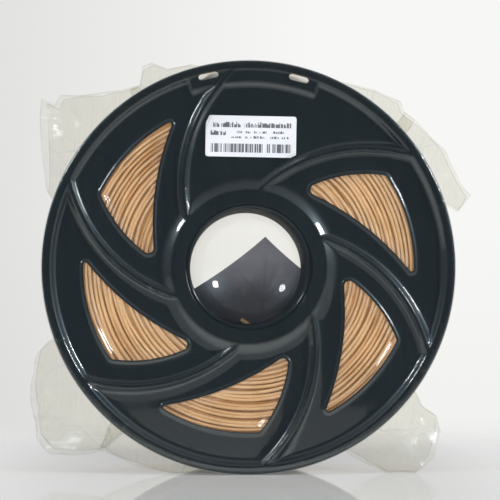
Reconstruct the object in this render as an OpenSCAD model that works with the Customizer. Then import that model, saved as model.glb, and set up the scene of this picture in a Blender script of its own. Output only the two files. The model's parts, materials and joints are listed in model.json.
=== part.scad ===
// Filament spool, 1 kg class, standing on its rim in its shrunk vacuum bag.
// The spool's axis lies along Y, the labelled flange faces -Y, +Z is up, and the
// origin is the middle of the hub bore. All lengths are in millimetres.
//
// Every turned or flat piece is drawn about its own Z axis with its outer face up,
// and on_axis() then lays that axis along -Y.

/* [Spool] */
// Outer diameter of both flanges
flange_d = 200; // [190:1:215]
// Width over the two flanges
spool_w = 65; // [54:0.5:76]
// Diameter of the hub bore
bore_d = 57; // [50:0.5:58]
// Diameter of the drum that the filament is wound on
drum_d = 90; // [88:0.5:96]

/* [Flange moulding] */
// Wall of a flange under its panels
flange_wall = 1.8; // [1.4:0.1:2.6]
// Height of the rim, hub ring and swirl ribs over the panels
relief_h = 2.8; // [1.6:0.1:3.4]
// Width of the rim's flat crest
rim_w = 3.9; // [2.6:0.1:4.6]
// Width of the slope from the rim down to the panels
rim_slope = 2.4; // [1.2:0.1:3]
// Chamfer on the rim's outer edges
rim_chamfer = 0.8; // [0.3:0.1:1.2]
// Width of the hub ring's flat crest
hub_ring_w = 6.9; // [5:0.1:8]
// Width of the slope from the hub ring down to the panels
hub_slope = 3.6; // [2:0.2:4]
// Depth of the relief groove behind the rim
back_groove = 2.4; // [1:0.1:2.8]

/* [Swirl ribs] */
// Radius of a rib's curved crest line
rib_r = 76.7; // [66:0.1:88]
// Turn from +X at which the first rib leaves the hub ring, in degrees
rib_hub_turn = 82.9; // [78:0.1:86]
// Turn from +X at which the first rib meets the rim, in degrees
rib_rim_turn = 34.3; // [32:0.1:38]
// Width of a rib's crest
rib_w = 1.6; // [1.2:0.1:2.4]
// Width of the rib's steep slope, on the window side
rib_near_slope = 1.8; // [1:0.1:2.2]
// Width of the rib's gentle slope, on the far side
rib_far_slope = 2.4; // [1.4:0.1:2.8]
// How far the ribs stay under the rim's crest
crest_drop = 0.2; // [0.1:0.05:0.4]

/* [Windows] */
// Distance from the flange's edge to the windows' outer side
window_edge = 20; // [17:0.5:24]
// Distance from a rib's crest line to the side of its own window
window_rib_gap = 12.4; // [11:0.2:15]
// Radius of the windows' long swept side, which faces the rib before
sweep_r = 130; // [120:0.5:140]
// Least distance from that rib's crest line to the swept side
sweep_gap = 10.45; // [8:0.05:13]
// Turn from +X at which the first window's swept side is nearest to its rib
sweep_turn = 33.8; // [28:0.2:40]
// Radius of the windows' corners
window_corner = 2.6; // [1.4:0.1:3.4]
// Width of the lip round each window
lip_w = 1.8; // [1:0.1:2.6]
// Height of the lip round each window over the panel
lip_h = 0.7; // [0.3:0.1:1.2]

/* [Filament end slots] */
// Length of a slot along the rim
slot_l = 9.8; // [6:0.2:12]
// Width of a slot
slot_w = 3.2; // [2.2:0.1:4]
// Distance from the flange's edge to the slots' middle line
slot_edge = 5.4; // [5:0.1:6.4]
// Turn between the two slots, in degrees
slot_apart = 26.8; // [22:0.2:30]
// Turn of the pair's middle from +X, in degrees
slot_turn = 88.6; // [84:0.2:94]
// Width of the raised pad round the slots, inwards from the edge
pad_w = 10.2; // [9:0.1:12]
// Turn that the pad covers, in degrees
pad_span = 40; // [36:0.5:44]
// How far the pad stays under the rim's crest
pad_drop = 0.6; // [0.45:0.05:1]

/* [Hub core] */
// Wall of the bore tube
bore_wall = 2; // [1.6:0.1:2.6]
// Wall of the drum
drum_wall = 2; // [1.4:0.1:2.6]
// Rounding of the bore's two mouths
mouth_round = 1.4; // [0.6:0.1:1.5]
// Number of webs between bore tube and drum
web_n = 6; // [4:1:8]
// Thickness of a web
web_t = 1.6; // [1.2:0.1:2.6]
// Number of snap arms on each flange
snap_n = 6; // [3:1:6]
// Length of a snap arm
snap_l = 9; // [7:0.5:12]
// Thickness of the snap arms and of the locating tabs between them
snap_t = 1.6; // [1.2:0.1:2]
// Turn that one snap arm covers, in degrees
snap_span = 18; // [12:1:24]
// Reach of a snap arm's barb into the drum's wall
barb = 1; // [0.6:0.1:1.2]
// Clearance between pieces that fit in one another
fit_gap = 0.15; // [0.1:0.01:0.25]

/* [Filament] */
// Diameter of the filament
filament_d = 1.75; // [1.6:0.05:2]
// Distance from the flange's edge to the wound filament's outside
fill_edge = 11.4; // [11.2:0.2:16]
// Gap between the wound filament and each flange
side_gap = 1; // [0.8:0.1:1.6]
// Clear gap kept between neighbouring turns of the outer layer
turn_gap = 0.6; // [0.5:0.05:0.9]
// Radial step from strand to strand on the winding's two flanks
flank_step = 1.9; // [1.8:0.05:2.2]
// Length of the start end that lies over the rear mouth
end_l = 12.4; // [8:0.2:14]
// Turn of that end away from the radius, in degrees
end_lean = 43; // [20:1:50]

/* [Label] */
// Height of the label
label_h = 20; // [14:0.5:24]
// Width left clear between the label's corners and the ribs beside it
label_clear = 0.5; // [0.4:0.1:4]
// Thickness of the label
label_t = 0.2; // [0.1:0.05:0.4]
// Radius of the label's corners
label_corner = 1.3; // [0.5:0.1:3]
// Distance from the flange's edge to the label's middle
label_edge = 36.7; // [35:0.1:38]
// Tilt of the label, in degrees
label_tilt = -1; // [-2:0.5:1]

/* [Desiccant sachet] */
// Width of the sachet from corner to corner, drawn out by the film
sachet_w = 92; // [80:1:100]
// Height of the sachet from corner to corner
sachet_h = 68; // [60:1:76]
// Thickness of the sachet at its middle
sachet_t = 4.4; // [3:0.2:6]
// Offset of the sachet's middle along X
sachet_x = 9.5; // [4:0.5:12]
// Height of the sachet's middle over the spool's axis
sachet_up = -17.5; // [-24:0.5:-14]
// Turn of the sachet, clockwise from the front, in degrees
sachet_turn = 1.6; // [-4:0.2:6]

/* [Vacuum bag] */
// Thickness that the bag's film is given
film_t = 0.4; // [0.3:0.05:0.8]
// Thickness of a loose flap, two films and the air between
flap_t = 1; // [0.6:0.1:2]
// Distance of the flaps in front of the middle plane
flap_fore = 20; // [0:1:24]
// Width of the film turned in over each rim
turn_in = 3; // [2:0.1:3.6]
// Depth to which the film is drawn in between the flanges
film_sag = 5; // [1:0.5:8]
// Number of folds that would fan out round a full turn of flaps
fold_n = 22; // [12:1:30]
// Rise of a fold for each millimetre out from the rim
fold_rise = 0.17; // [0:0.01:0.25]

/* [Hidden] */
$fn = 96;

eps = 0.01;                 // overlap that makes a cut or a join clean
sector_n = 6;               // swirl sectors round the flange, one of them closed
flange_r = flange_d / 2;
bore_r = bore_d / 2;
drum_r = drum_d / 2;
half_w = spool_w / 2;

// Heights over the middle plane, on the flange's own axis
panel_z = half_w - relief_h;           // top of the panels
inner_z = panel_z - flange_wall;       // flange's inner face
crest_z = half_w - crest_drop;         // top of the ribs
pad_z = half_w - pad_drop;             // top of the slot pad

// Radii of the flange's rings
hub_hole_r = bore_r + bore_wall + fit_gap;
hub_crest_r = bore_r + bore_wall + hub_ring_w;
hub_foot_r = hub_crest_r + hub_slope;
rim_crest_r = flange_r - rim_w;
rim_foot_r = rim_crest_r - rim_slope;
join_lap = 0.3;                        // overlap of ribs and pad with the rim
join_r = rim_crest_r + join_lap;       // ribs and pad end here, inside the rim
rim_skin = 1.4;                        // wall left outside the groove behind the rim
rib_near_r = rib_r - rib_w / 2;
rib_far_r = rib_r + rib_w / 2;
window_r = flange_r - window_edge;

// The first rib's crest line is an arc between two points, one on the hub ring and
// one on the rim; every other rib is that one turned about the spool's axis
sector_turn = 360 / sector_n;
rib_hub_end = polar(hub_crest_r, rib_hub_turn);
rib_rim_end = polar(rim_crest_r, rib_rim_turn);
rib_mid = arc_middle(rib_hub_end, rib_rim_end, rib_r);
// The windows' swept side runs about its own middle, beyond the rib before it
sweep_mid = turned(rib_mid, -sector_turn) - polar(sweep_r - rib_r - sweep_gap, sweep_turn);

// The label fills the room between the two ribs of the closed sector: its top left
// corner stays clear of one rib's steep foot, its bottom right of the other's
// gentle foot
label_y = flange_r - label_edge;
label_left = let (mid = turned(rib_mid, sector_turn))
    mid[0] - leg(rib_near_r - rib_near_slope - label_corner - label_clear,
        label_y + label_h / 2 - label_corner - mid[1]);
label_right = rib_mid[0] - leg(rib_far_r + rib_far_slope + label_corner + label_clear,
    label_y - label_h / 2 + label_corner - rib_mid[1]);

// The wound filament: a core that stays plain, under one layer of real turns
wind_r = flange_r - fill_edge;
wind_half = inner_z - side_gap;
seat_gap = 0.1;
turn_r = wind_r - filament_d / 2;
turn_span = 2 * wind_half - filament_d;
turn_n = min(24, floor(turn_span / (filament_d + turn_gap)));
turn_rings = 24;
tube_sides = 6;
// The core lies under the turns' straight chords
core_r = turn_r * cos(180 / turn_rings) - filament_d / 2 - seat_gap;
turn_pitch = turn_span / turn_n;
end_run = filament_d;       // straight stretch at both ends of a wound tube

snap_r = drum_r - drum_wall - fit_gap; // outside of the arms and tabs
locate_h = 3;                          // height of the locating tabs
arm_slit = 3;                          // turn left free on both sides of an arm
barb_h = 2;                            // height of a barb
arm_play = 2;                          // turn by which a barb's slot is wider than its arm
web_clear = 2;                         // space between the webs and the snap arms
web_half = inner_z - snap_l - web_clear;

function polar(r, a) = [r * cos(a), r * sin(a)];
function turned(p, a) = polar(norm(p), atan2(p[1], p[0]) + a);
function turn_about(c, p) = atan2(p[1] - c[1], p[0] - c[0]);
// Middle of the arc of radius r from a to b, on the right of the way from a to b
function arc_middle(a, b, r) =
    let (half = (b - a) / 2)
    (a + b) / 2 + [half[1], -half[0]] / norm(half) * leg(r, norm(half));
// Third side of a right-angled triangle
function leg(long, short) = sqrt(long * long - short * short);

// Lays a piece drawn about +Z, outer face up, along the spool's axis to the front
module on_axis() {
    rotate([90, 0, 0]) children();
}

// ---------------------------------------------------------------- flanges

// Section of the flange's body: hub ring, panel and rim, with the groove behind
// the rim that keeps the wall even
module flange_section() {
    groove_in = join_r + join_lap;
    groove_out = flange_r - rim_skin;
    polygon([
        [hub_hole_r, inner_z],
        [groove_in, inner_z],
        [groove_in, inner_z + back_groove],
        [groove_out, inner_z + back_groove],
        [groove_out, inner_z],
        [flange_r - rim_chamfer, inner_z],
        [flange_r, inner_z + rim_chamfer],
        [flange_r, half_w - rim_chamfer],
        [flange_r - rim_chamfer, half_w],
        [rim_crest_r, half_w],
        [rim_foot_r, panel_z],
        [hub_foot_r, panel_z],
        [hub_crest_r, half_w],
        [hub_hole_r, half_w]
    ]);
}

// The first swirl rib: part of a ring about its own middle, sloped on both sides,
// that is drawn a little too long and cut off inside the rim and the hub ring
module swirl_rib() {
    spare = 8;              // turn by which it is too long at each end
    from = turn_about(rib_mid, rib_rim_end) - spare;
    to = turn_about(rib_mid, rib_hub_end) + spare;
    cut_r = hub_crest_r - hub_ring_w / 3;
    intersection() {
        translate(concat(rib_mid, [0]))
            rotate([0, 0, from])
                rotate_extrude(angle = to - from)
                    polygon([
                        [rib_near_r - rib_near_slope, panel_z - eps],
                        [rib_far_r + rib_far_slope, panel_z - eps],
                        [rib_far_r, crest_z],
                        [rib_near_r, crest_z]
                    ]);
        translate([0, 0, panel_z - 1])
            difference() {
                cylinder(r = join_r, h = relief_h + 2);
                translate([0, 0, -1]) cylinder(r = cut_r, h = relief_h + 4);
            }
    }
}

// Outline of the first window, made of three arcs with rounded corners
module window_outline(grow = 0) {
    offset(r = window_corner + grow, $fn = 20)
        offset(delta = -window_corner)
            intersection() {
                circle(r = window_r, $fn = 160);
                translate(rib_mid) circle(r = rib_r - window_rib_gap, $fn = 128);
                difference() {
                    circle(r = flange_r);
                    translate(sweep_mid) circle(r = sweep_r, $fn = 240);
                }
            }
}

// Pad raised to the rim's height, which carries the two slots
module slot_pad() {
    pad_r = flange_r - pad_w;
    rotate([0, 0, slot_turn - pad_span / 2])
        rotate_extrude(angle = pad_span)
            polygon([
                [pad_r - rim_slope, panel_z - eps],
                [join_r, panel_z - eps],
                [join_r, pad_z],
                [pad_r, pad_z]
            ]);
}

// The two long holes that a loose filament end is threaded through
module end_slots() {
    slot_r = flange_r - slot_edge;
    for (side = [-1, 1])
        rotate([0, 0, slot_turn + side * slot_apart / 2])
            translate([slot_r, 0, inner_z - 1]) {
                translate([-slot_w / 2, -(slot_l - slot_w) / 2, 0])
                    cube([slot_w, slot_l - slot_w, relief_h + flange_wall + 2]);
                for (end = [-1, 1])
                    translate([0, end * (slot_l - slot_w) / 2, 0])
                        cylinder(d = slot_w, h = relief_h + flange_wall + 2, $fn = 32);
            }
}

// Snap arms that hold the flange in the drum's end, with locating tabs between them
module snap_ring() {
    pitch = 360 / snap_n;
    tab_span = pitch - snap_span - 2 * arm_slit;
    for (i = [0 : snap_n - 1]) {
        rotate([0, 0, i * pitch - tab_span / 2])
            rotate_extrude(angle = tab_span)
                polygon([
                    [snap_r - snap_t, inner_z - locate_h],
                    [snap_r, inner_z - locate_h],
                    [snap_r, inner_z + eps],
                    [snap_r - snap_t, inner_z + eps]
                ]);
        rotate([0, 0, (i + 0.5) * pitch - snap_span / 2])
            rotate_extrude(angle = snap_span)
                polygon([
                    [snap_r - snap_t, inner_z - snap_l],
                    [snap_r, inner_z - snap_l],
                    [snap_r + fit_gap + barb, inner_z - snap_l + barb_h],
                    [snap_r, inner_z - snap_l + barb_h],
                    [snap_r, inner_z + eps],
                    [snap_r - snap_t, inner_z + eps]
                ]);
    }
}

// One flange moulding, outer face up
module flange() {
    difference() {
        union() {
            rotate_extrude() flange_section();
            for (k = [0 : sector_n - 1]) rotate([0, 0, k * sector_turn]) swirl_rib();
            slot_pad();
            for (k = window_sectors)
                rotate([0, 0, k * sector_turn]) translate([0, 0, panel_z - eps])
                    linear_extrude(lip_h + eps) window_outline(lip_w);
            snap_ring();
        }
        for (k = window_sectors)
            rotate([0, 0, k * sector_turn]) translate([0, 0, inner_z - 1])
                linear_extrude(relief_h + flange_wall + 2) window_outline();
        end_slots();
    }
}
// The first sector lies at the upper right; the next one, at the top, stays closed
window_sectors = [for (k = [0 : sector_n - 1]) if (k != 1) k];

module front_flange() {
    color([0.13, 0.15, 0.17]) on_axis() flange();
}

// The same moulding, turned about the vertical to face the other way
module rear_flange() {
    color([0.13, 0.15, 0.17])
        rotate([0, 0, 180]) on_axis()
            difference() {
                flange();
                start_hole();
            }
}

// ---------------------------------------------------------------- hub core

// Bore tube and drum in one moulding, joined by radial webs
module hub_core() {
    color([0.11, 0.12, 0.14]) on_axis() difference() {
        union() {
            bore_tube();
            difference() {
                translate([0, 0, -inner_z]) cylinder(r = drum_r, h = 2 * inner_z);
                translate([0, 0, -inner_z - 1])
                    cylinder(r = drum_r - drum_wall, h = 2 * inner_z + 2);
            }
            for (i = [0 : web_n - 1])
                rotate([0, 0, i * 360 / web_n])
                    translate([bore_r + bore_wall / 2, -web_t / 2, -web_half])
                        cube([drum_r - drum_wall / 2 - bore_r - bore_wall / 2, web_t, 2 * web_half]);
        }
        for (side = [0, 1]) mirror([0, 0, side]) snap_slots();
    }
}

// Tube of the bore, as long as the spool is wide, with rounded mouths
module bore_tube() {
    arc_n = 8;
    mouth = [for (i = [0 : arc_n]) let (a = 90 * i / arc_n)
        [bore_r + mouth_round - mouth_round * cos(a), half_w - mouth_round + mouth_round * sin(a)]];
    rotate_extrude()
        polygon(concat(
            mouth,
            [[bore_r + bore_wall, half_w], [bore_r + bore_wall, -half_w]],
            [for (i = [arc_n : -1 : 0]) [mouth[i][0], -mouth[i][1]]]
        ));
}

// Slots in one end of the drum's wall that the barbs snap into
module snap_slots() {
    play = 0.3;             // room round a barb in its slot
    slot_span = snap_span + arm_play;
    slot_in = drum_r - drum_wall - play;
    slot_out = drum_r - drum_wall + barb + play;
    low = inner_z - snap_l - play;
    high = inner_z - snap_l + barb_h + play;
    for (i = [0 : snap_n - 1])
        rotate([0, 0, (i + 0.5) * 360 / snap_n - slot_span / 2])
            rotate_extrude(angle = slot_span)
                polygon([[slot_in, low], [slot_out, low], [slot_out, high], [slot_in, high]]);
}

// ---------------------------------------------------------------- filament

// The wound filament under its outer layer. Its flanks carry the rounded edges
// of the strands that show through the windows.
module filament_winding() {
    inside_r = drum_r + seat_gap;
    flank_n = floor((core_r - inside_r) / flank_step);
    step = (core_r - inside_r) / flank_n;
    depth = filament_d / 3;
    bump = [[0, 0], [0.16, 0.7], [0.5, 1], [0.84, 0.7]];
    flank = [for (i = [0 : flank_n - 1]) for (b = bump)
        [inside_r + (i + b[0]) * step, wind_half - depth * (1 - b[1])]];
    profile = concat(flank, [[core_r, wind_half - depth]]);
    last = len(profile) - 1;
    color([0.78, 0.6, 0.42]) on_axis()
        rotate_extrude()
            polygon(concat(
                [for (p = profile) p],
                [for (i = [last : -1 : 0]) [profile[i][0], -profile[i][1]]]
            ));
}

// Closed tube through the given points: each ring stands square to the path
module tube(points, d, sides) {
    n = len(points);
    function ahead(i) = let (
            a = points[max(i - 1, 0)],
            b = points[min(i + 1, n - 1)])
        (b - a) / norm(b - a);
    function ring(i) = let (
            t = ahead(i),
            up = abs(t[2]) > 0.9 ? [1, 0, 0] : [0, 0, 1],
            s = cross(t, up) / norm(cross(t, up)),
            u = cross(s, t))
        [for (j = [0 : sides - 1]) let (a = 360 * j / sides)
            points[i] + d / 2 * (s * cos(a) + u * sin(a))];
    verts = [for (i = [0 : n - 1]) each ring(i)];
    walls = [for (i = [0 : n - 2]) for (j = [0 : sides - 1])
        let (a = i * sides + j, b = i * sides + (j + 1) % sides)
        each [[a, a + sides, b], [b, a + sides, b + sides]]];
    caps = [for (j = [1 : sides - 2]) each [
        [0, j, j + 1],
        [(n - 1) * sides, (n - 1) * sides + j + 1, (n - 1) * sides + j]]];
    polyhedron(points = verts, faces = concat(walls, caps), convexity = 10);
}

// Middle line of the outer layer: one helix with a short straight run at each end
function helix_at(a) = [turn_r * cos(a), turn_r * sin(a), -turn_span / 2 + turn_pitch * a / 360];
function helix_ahead(a) = let (d = [-sin(a), cos(a), turn_pitch / (2 * PI * turn_r)]) d / norm(d);
turn_start = 200;           // turn of the layer's first point, in degrees
function layer_at(a) = [turn_r * cos(a + turn_start), turn_r * sin(a + turn_start),
    -turn_span / 2 + turn_pitch * a / 360];
layer_end = 360 * turn_n;
layer_line = concat(
    [layer_at(0) - end_run * helix_ahead(turn_start)],
    [for (i = [0 : turn_n * turn_rings]) layer_at(360 * i / turn_rings)],
    [layer_at(layer_end) + end_run * helix_ahead(turn_start + layer_end)]
);
// Least distance between neighbouring turns, measured on the points
layer_gap = min([for (i = [1 : (turn_n - 1) * turn_rings])
    norm(layer_line[i + turn_rings] - layer_line[i]) - filament_d]);
echo(str("outer_turns: least gap to itself ", layer_gap, " mm over ", turn_n, " turns"));

module outer_turns() {
    color([0.84, 0.66, 0.47]) on_axis() tube(layer_line, filament_d, tube_sides);
}

// The filament's first end leaves the hub by a hole in the rear flange's hub ring
// and lies bent inwards over the rear mouth. Drawn on the rear flange's own axis.
start_r = (hub_hole_r + hub_crest_r) / 2;
start_turn = -104;          // turn of the hole about the rear flange's own axis
function start_at(r, z, side) = concat(polar(r, start_turn) + side * polar(1, start_turn + 90), [z]);
start_lift = filament_d / 2 + 0.15;
start_in = 6;               // length that stays behind the flange
start_bend = 1;             // depth in the hole at which the bend begins
start_line = [
    start_at(start_r, inner_z - start_in, 0),
    start_at(start_r, half_w - start_bend, 0),
    start_at(start_r, half_w + start_lift / 2, 0),
    for (l = [start_lift, end_l / 2, end_l])
        start_at(start_r - l * cos(end_lean), half_w + start_lift, l * sin(end_lean))
];

module start_hole() {
    translate(concat(polar(start_r, start_turn), [inner_z - 1]))
        cylinder(d = filament_d + 0.5, h = flange_wall + relief_h + 2, $fn = 24);
}

module filament_start() {
    color([0.84, 0.66, 0.47])
        rotate([0, 0, 180]) on_axis() tube(start_line, filament_d, 8);
}

// ---------------------------------------------------------------- label and sachet

// Paper label on the closed sector's panel. Its corners' middles lie at label_left
// and label_right.
module label() {
    half_l = (label_right - label_left) / 2;
    half_h = label_h / 2 - label_corner;
    color([0.93, 0.94, 0.97]) on_axis()
        translate([(label_left + label_right) / 2, label_y, panel_z])
            rotate([0, 0, label_tilt])
                linear_extrude(label_t)
                    hull()
                        for (x = [-half_l, half_l]) for (y = [-half_h, half_h])
                            translate([x, y]) circle(r = label_corner, $fn = 24);
}

// Flat packet of drying agent between the rear mouth and the bag, one corner up
module desiccant_sachet() {
    shoulder = 13;          // from a seamed corner in to the full thickness
    seam_t = 1;             // thickness at the seam
    color([0.24, 0.22, 0.28])
        translate([sachet_x, half_w + film_t + start_lift + filament_d / 2, sachet_up])
            rotate([-90, 0, 0]) rotate([0, 0, sachet_turn])
                hull() {
                    linear_extrude(seam_t) diamond(sachet_w / 2, sachet_h / 2);
                    linear_extrude(sachet_t)
                        diamond(sachet_w / 2 - shoulder, sachet_h / 2 - shoulder);
                }
}

module diamond(a, b) {
    polygon([[a, 0], [0, b], [-a, 0], [0, -b]]);
}

// ---------------------------------------------------------------- vacuum bag

// Height of the floor under the bag, on the spool's own axis
floor_y = -flange_r - film_t;
function rim_point(out, a) = polar(flange_r + out, a);
function floor_point(x) = [x, floor_y];

// Outlines of the loose flaps: how far each corner stands out from the rim, and
// its turn. The lowest ones lie on the floor.
flap_upper_left = [rim_point(0, 99), rim_point(3.8, 105.8), rim_point(5.3, 112.2), rim_point(10.7, 115.5),
    rim_point(11.5, 118), rim_point(4.4, 120.8), rim_point(7, 125.8), rim_point(11.8, 130.3),
    rim_point(25, 137.4), rim_point(24, 140), rim_point(31, 140.8), rim_point(5.2, 159.5), rim_point(0, 162)];
flap_upper_right = [rim_point(0, 69), rim_point(7.4, 54.4), rim_point(10.5, 47.4), rim_point(8.3, 45.4),
    rim_point(10.3, 39.3), rim_point(12.5, 30.9), rim_point(12.5, 24.4), rim_point(14.8, 17.9),
    rim_point(7, 14.9), rim_point(0, 18.5)];
flap_lower_left = [rim_point(0, 199.5), rim_point(10.9, 201.9), rim_point(16.4, 205.8), rim_point(25.9, 213.2),
    rim_point(33, 218.7), rim_point(33.4, 223), rim_point(14.4, 231.4), rim_point(12.3, 238.5),
    floor_point(-37), floor_point(-16)];
flap_lower_right = [rim_point(0, -36), rim_point(8.9, -38.4), rim_point(17.9, -38.2), rim_point(24.4, -40.4),
    rim_point(30.5, -45.9), floor_point(81.5), floor_point(68), rim_point(15, -58.2), rim_point(0, -63)];

// The film between the flanges is drawn in along an arc from rim to rim
sag_n = 12;                 // straight stretches of the arc
sag_r = (pow(inner_z, 2) + pow(film_sag, 2)) / (2 * film_sag);
sag_reach = asin(inner_z / sag_r);
sag_mid = flange_r - film_sag + sag_r;

// Solid of revolution round both flanges, grown by a wall of film
module wrapped(wall) {
    arc_r = sag_r - wall;
    rotate_extrude()
        polygon(concat(
            [[0, -half_w - wall], [flange_r + wall, -half_w - wall], [flange_r + wall, -inner_z]],
            [for (i = [1 : sag_n - 1]) let (a = sag_reach * (2 * i / sag_n - 1))
                [sag_mid - arc_r * cos(a), arc_r * sin(a)]],
            [[flange_r + wall, inner_z], [flange_r + wall, half_w + wall], [0, half_w + wall]]));
}

// Ring of film about the flaps' plane: flat up to the rim, then folded to and fro
// along lines that fan out, ever higher towards the free edge
fold_reach = 40;            // how far out the folds go on
module folded_film() {
    rows = [[flange_r - film_sag - 2, 0], [flange_r, 0], [flange_r + fold_reach, fold_rise * fold_reach]];
    columns = 2 * fold_n;
    half = len(rows) * columns;     // points on one side of the film
    function at(side, row, i) = side * half + row * columns + i % columns;
    function split(a, b, c, d) = [[a, b, c], [a, c, d]];
    points = [for (side = [-1, 1]) for (row = rows) for (i = [0 : columns - 1])
        concat(polar(row[0], 360 * i / columns), [row[1] * (1 - 2 * (i % 2)) + side * flap_t / 2])];
    faces = [for (i = [0 : columns - 1]) each concat(
        [for (row = [0 : len(rows) - 2]) each concat(
            split(at(1, row, i), at(1, row, i + 1), at(1, row + 1, i + 1), at(1, row + 1, i)),
            split(at(0, row, i), at(0, row + 1, i), at(0, row + 1, i + 1), at(0, row, i + 1)))],
        split(at(0, 0, i), at(0, 0, i + 1), at(1, 0, i + 1), at(1, 0, i)),
        split(at(1, 2, i), at(1, 2, i + 1), at(0, 2, i + 1), at(0, 2, i)))];
    polyhedron(points, faces);
}

// Film shrunk round both rims, with the loose flaps of the pouch's four corners
module vacuum_bag() {
    flap_room = 2 * (fold_rise * fold_reach + flap_t);
    color([0.93, 0.92, 0.86, 0.3]) on_axis()
        difference() {
            union() {
                wrapped(film_t);
                for (flap = [flap_upper_left, flap_upper_right, flap_lower_left, flap_lower_right])
                    translate([0, 0, flap_fore])
                        intersection() {
                            folded_film();
                            linear_extrude(flap_room, center = true) polygon(concat([[0, 0]], flap));
                        }
            }
            wrapped(0);
            for (side = [-1, 1])
                translate([0, 0, side * (half_w + film_t)])
                    cylinder(r = flange_r - turn_in, h = 4 * film_t, center = true);
        }
}

front_flange();
rear_flange();
hub_core();
filament_winding();
outer_turns();
filament_start();
label();
desiccant_sachet();
vacuum_bag();
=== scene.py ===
# %% [markdown]
# # A spool of wood-filled filament, still in its vacuum bag
#
# A filament spool is two moulded flanges snapped on to a hub. The filament is wound
# between them, and the whole spool is sold in a clear bag from which the air has been
# drawn. This lesson dresses the plain solids of such a spool: softly rounded
# mouldings, filament that is really wound, a printed label, a pouch of drying agent,
# and film that hugs everything it touches.
#
# The plain solids come in first. They are the frame that every later piece has to fit.

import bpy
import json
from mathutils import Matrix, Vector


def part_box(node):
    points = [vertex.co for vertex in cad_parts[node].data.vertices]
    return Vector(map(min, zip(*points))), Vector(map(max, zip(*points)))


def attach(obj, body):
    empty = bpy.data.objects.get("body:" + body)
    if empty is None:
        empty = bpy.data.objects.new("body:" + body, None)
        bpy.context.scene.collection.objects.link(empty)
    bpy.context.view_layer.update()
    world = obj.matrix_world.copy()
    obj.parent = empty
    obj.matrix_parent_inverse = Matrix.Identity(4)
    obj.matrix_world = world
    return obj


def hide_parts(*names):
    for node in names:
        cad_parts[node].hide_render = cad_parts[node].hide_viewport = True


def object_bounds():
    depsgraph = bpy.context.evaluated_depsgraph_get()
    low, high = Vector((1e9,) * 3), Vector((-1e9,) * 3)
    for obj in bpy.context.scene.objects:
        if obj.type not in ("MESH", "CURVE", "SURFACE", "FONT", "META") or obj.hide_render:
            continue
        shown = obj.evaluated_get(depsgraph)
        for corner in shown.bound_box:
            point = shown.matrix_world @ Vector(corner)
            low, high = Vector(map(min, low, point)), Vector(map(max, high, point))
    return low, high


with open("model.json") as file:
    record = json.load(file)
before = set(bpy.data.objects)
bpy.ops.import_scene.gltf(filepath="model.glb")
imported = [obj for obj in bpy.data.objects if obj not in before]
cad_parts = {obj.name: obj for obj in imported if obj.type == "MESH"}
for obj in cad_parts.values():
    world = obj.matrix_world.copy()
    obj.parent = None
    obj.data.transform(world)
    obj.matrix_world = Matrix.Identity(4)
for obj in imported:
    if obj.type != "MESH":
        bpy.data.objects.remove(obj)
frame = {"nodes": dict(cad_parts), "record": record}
cad_box = [list(corner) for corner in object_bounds()]

import json
import math
import random

import bmesh
import bpy
import numpy as np
from mathutils import Vector
from mathutils.geometry import delaunay_2d_cdt
from mathutils.kdtree import KDTree

print("solids:", sorted(frame["nodes"]))

# %% [markdown]
# ## Sizes
#
# A spool is designed round its axis, so the sizes here are radii, widths across the
# spool and turns round it. The large ones are read from the frame. The small ones,
# such as the width of a slope, are a moulder's sizes in millimetres. Blender works in
# metres, so every mesh is scaled once, when it is made.

# %% Large sizes from the frame
MM = 0.001
low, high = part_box("front_flange")
FLANGE_R = high.x / MM
HALF_W = -low.y / MM
BORE_R = frame["record"]["mounts"][0]["dims"]["r_mm"]
DRUM_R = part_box("hub_core")[1].x / MM
WIND_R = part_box("outer_turns")[1].x / MM
WIND_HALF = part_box("filament_winding")[1].y / MM
FLOOR_Z = cad_box[0][2]
print(f"flange {FLANGE_R:.1f} mm, bore {BORE_R:.1f} mm, drum {DRUM_R:.1f} mm, "
      f"wound to {WIND_R:.1f} mm, half width {HALF_W:.1f} mm")

# %% Small sizes of the flange moulding, in millimetres
RELIEF = 2.8            # rim, hub ring and ribs over the panels
WALL = 1.8              # thickness under the panels
PANEL_Z = HALF_W - RELIEF
INNER_Z = PANEL_Z - WALL
HUB_HOLE_R = BORE_R + 2.15
HUB_CREST_R = BORE_R + 8.9
HUB_SLOPE = 7.4         # a hollow bank, steep at the ring's crest
HUB_CREST_ROUND = 0.3
RIM_CREST_R = FLANGE_R - 3.9
RIM_SLOPE = 2.7
EDGE_ROUND = 1.1        # rounding of the flange's outer edge
RIB_R = 76.7            # radius of a rib's curved crest line
RIB_W = 1.6
RIB_NEAR_SLOPE = 1.5
RIB_FAR_SLOPES = (1.5, 3.0)     # at the hub ring and at the rim
RIB_STEP, RIB_BANK = 0.6, 6.0   # the step's share of the height, and the bank's width
RIB_DROP = 0.2          # how far a rib stays below the rim
RIB_HUB_TURN, RIB_RIM_TURN = 82.9, 34.3         # where a rib meets the two rings
RIB_OVERRUN = 8         # degrees that it runs on under them
WINDOW_R = FLANGE_R - 20
WINDOW_RIB_GAP = 12.4
SWEEP_R = 130           # radius of a window's long swept side
SWEEP_GAP, SWEEP_TURN = 10.45, 33.8
WINDOW_CORNERS = (1.8, 1.1, 2.6)        # by the rim at the rib and at the sweep, and inside
CORNERS_NEAR = ((68, 43), (79, -2), (34, 37))   # roughly where those corners lie
LIP_W, LIP_H, LIP_SLOPE = 1.8, 0.7, 0.9
PAD_R = FLANGE_R - 10.2
PAD_SPAN, PAD_DROP = 40, 0.6
PAD_SLOPE, PAD_END = 2.6, 1.5
SLOT_R = FLANGE_R - 5.4
SLOT_L, SLOT_W = 9.8, 3.2
SLOT_TURN, SLOT_APART = 88.6, 26.8
SECTORS = 6
SECTOR_TURN = 360 / SECTORS
OPEN_SECTORS = [k for k in range(SECTORS) if k != 1]    # the top one has no window
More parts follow.
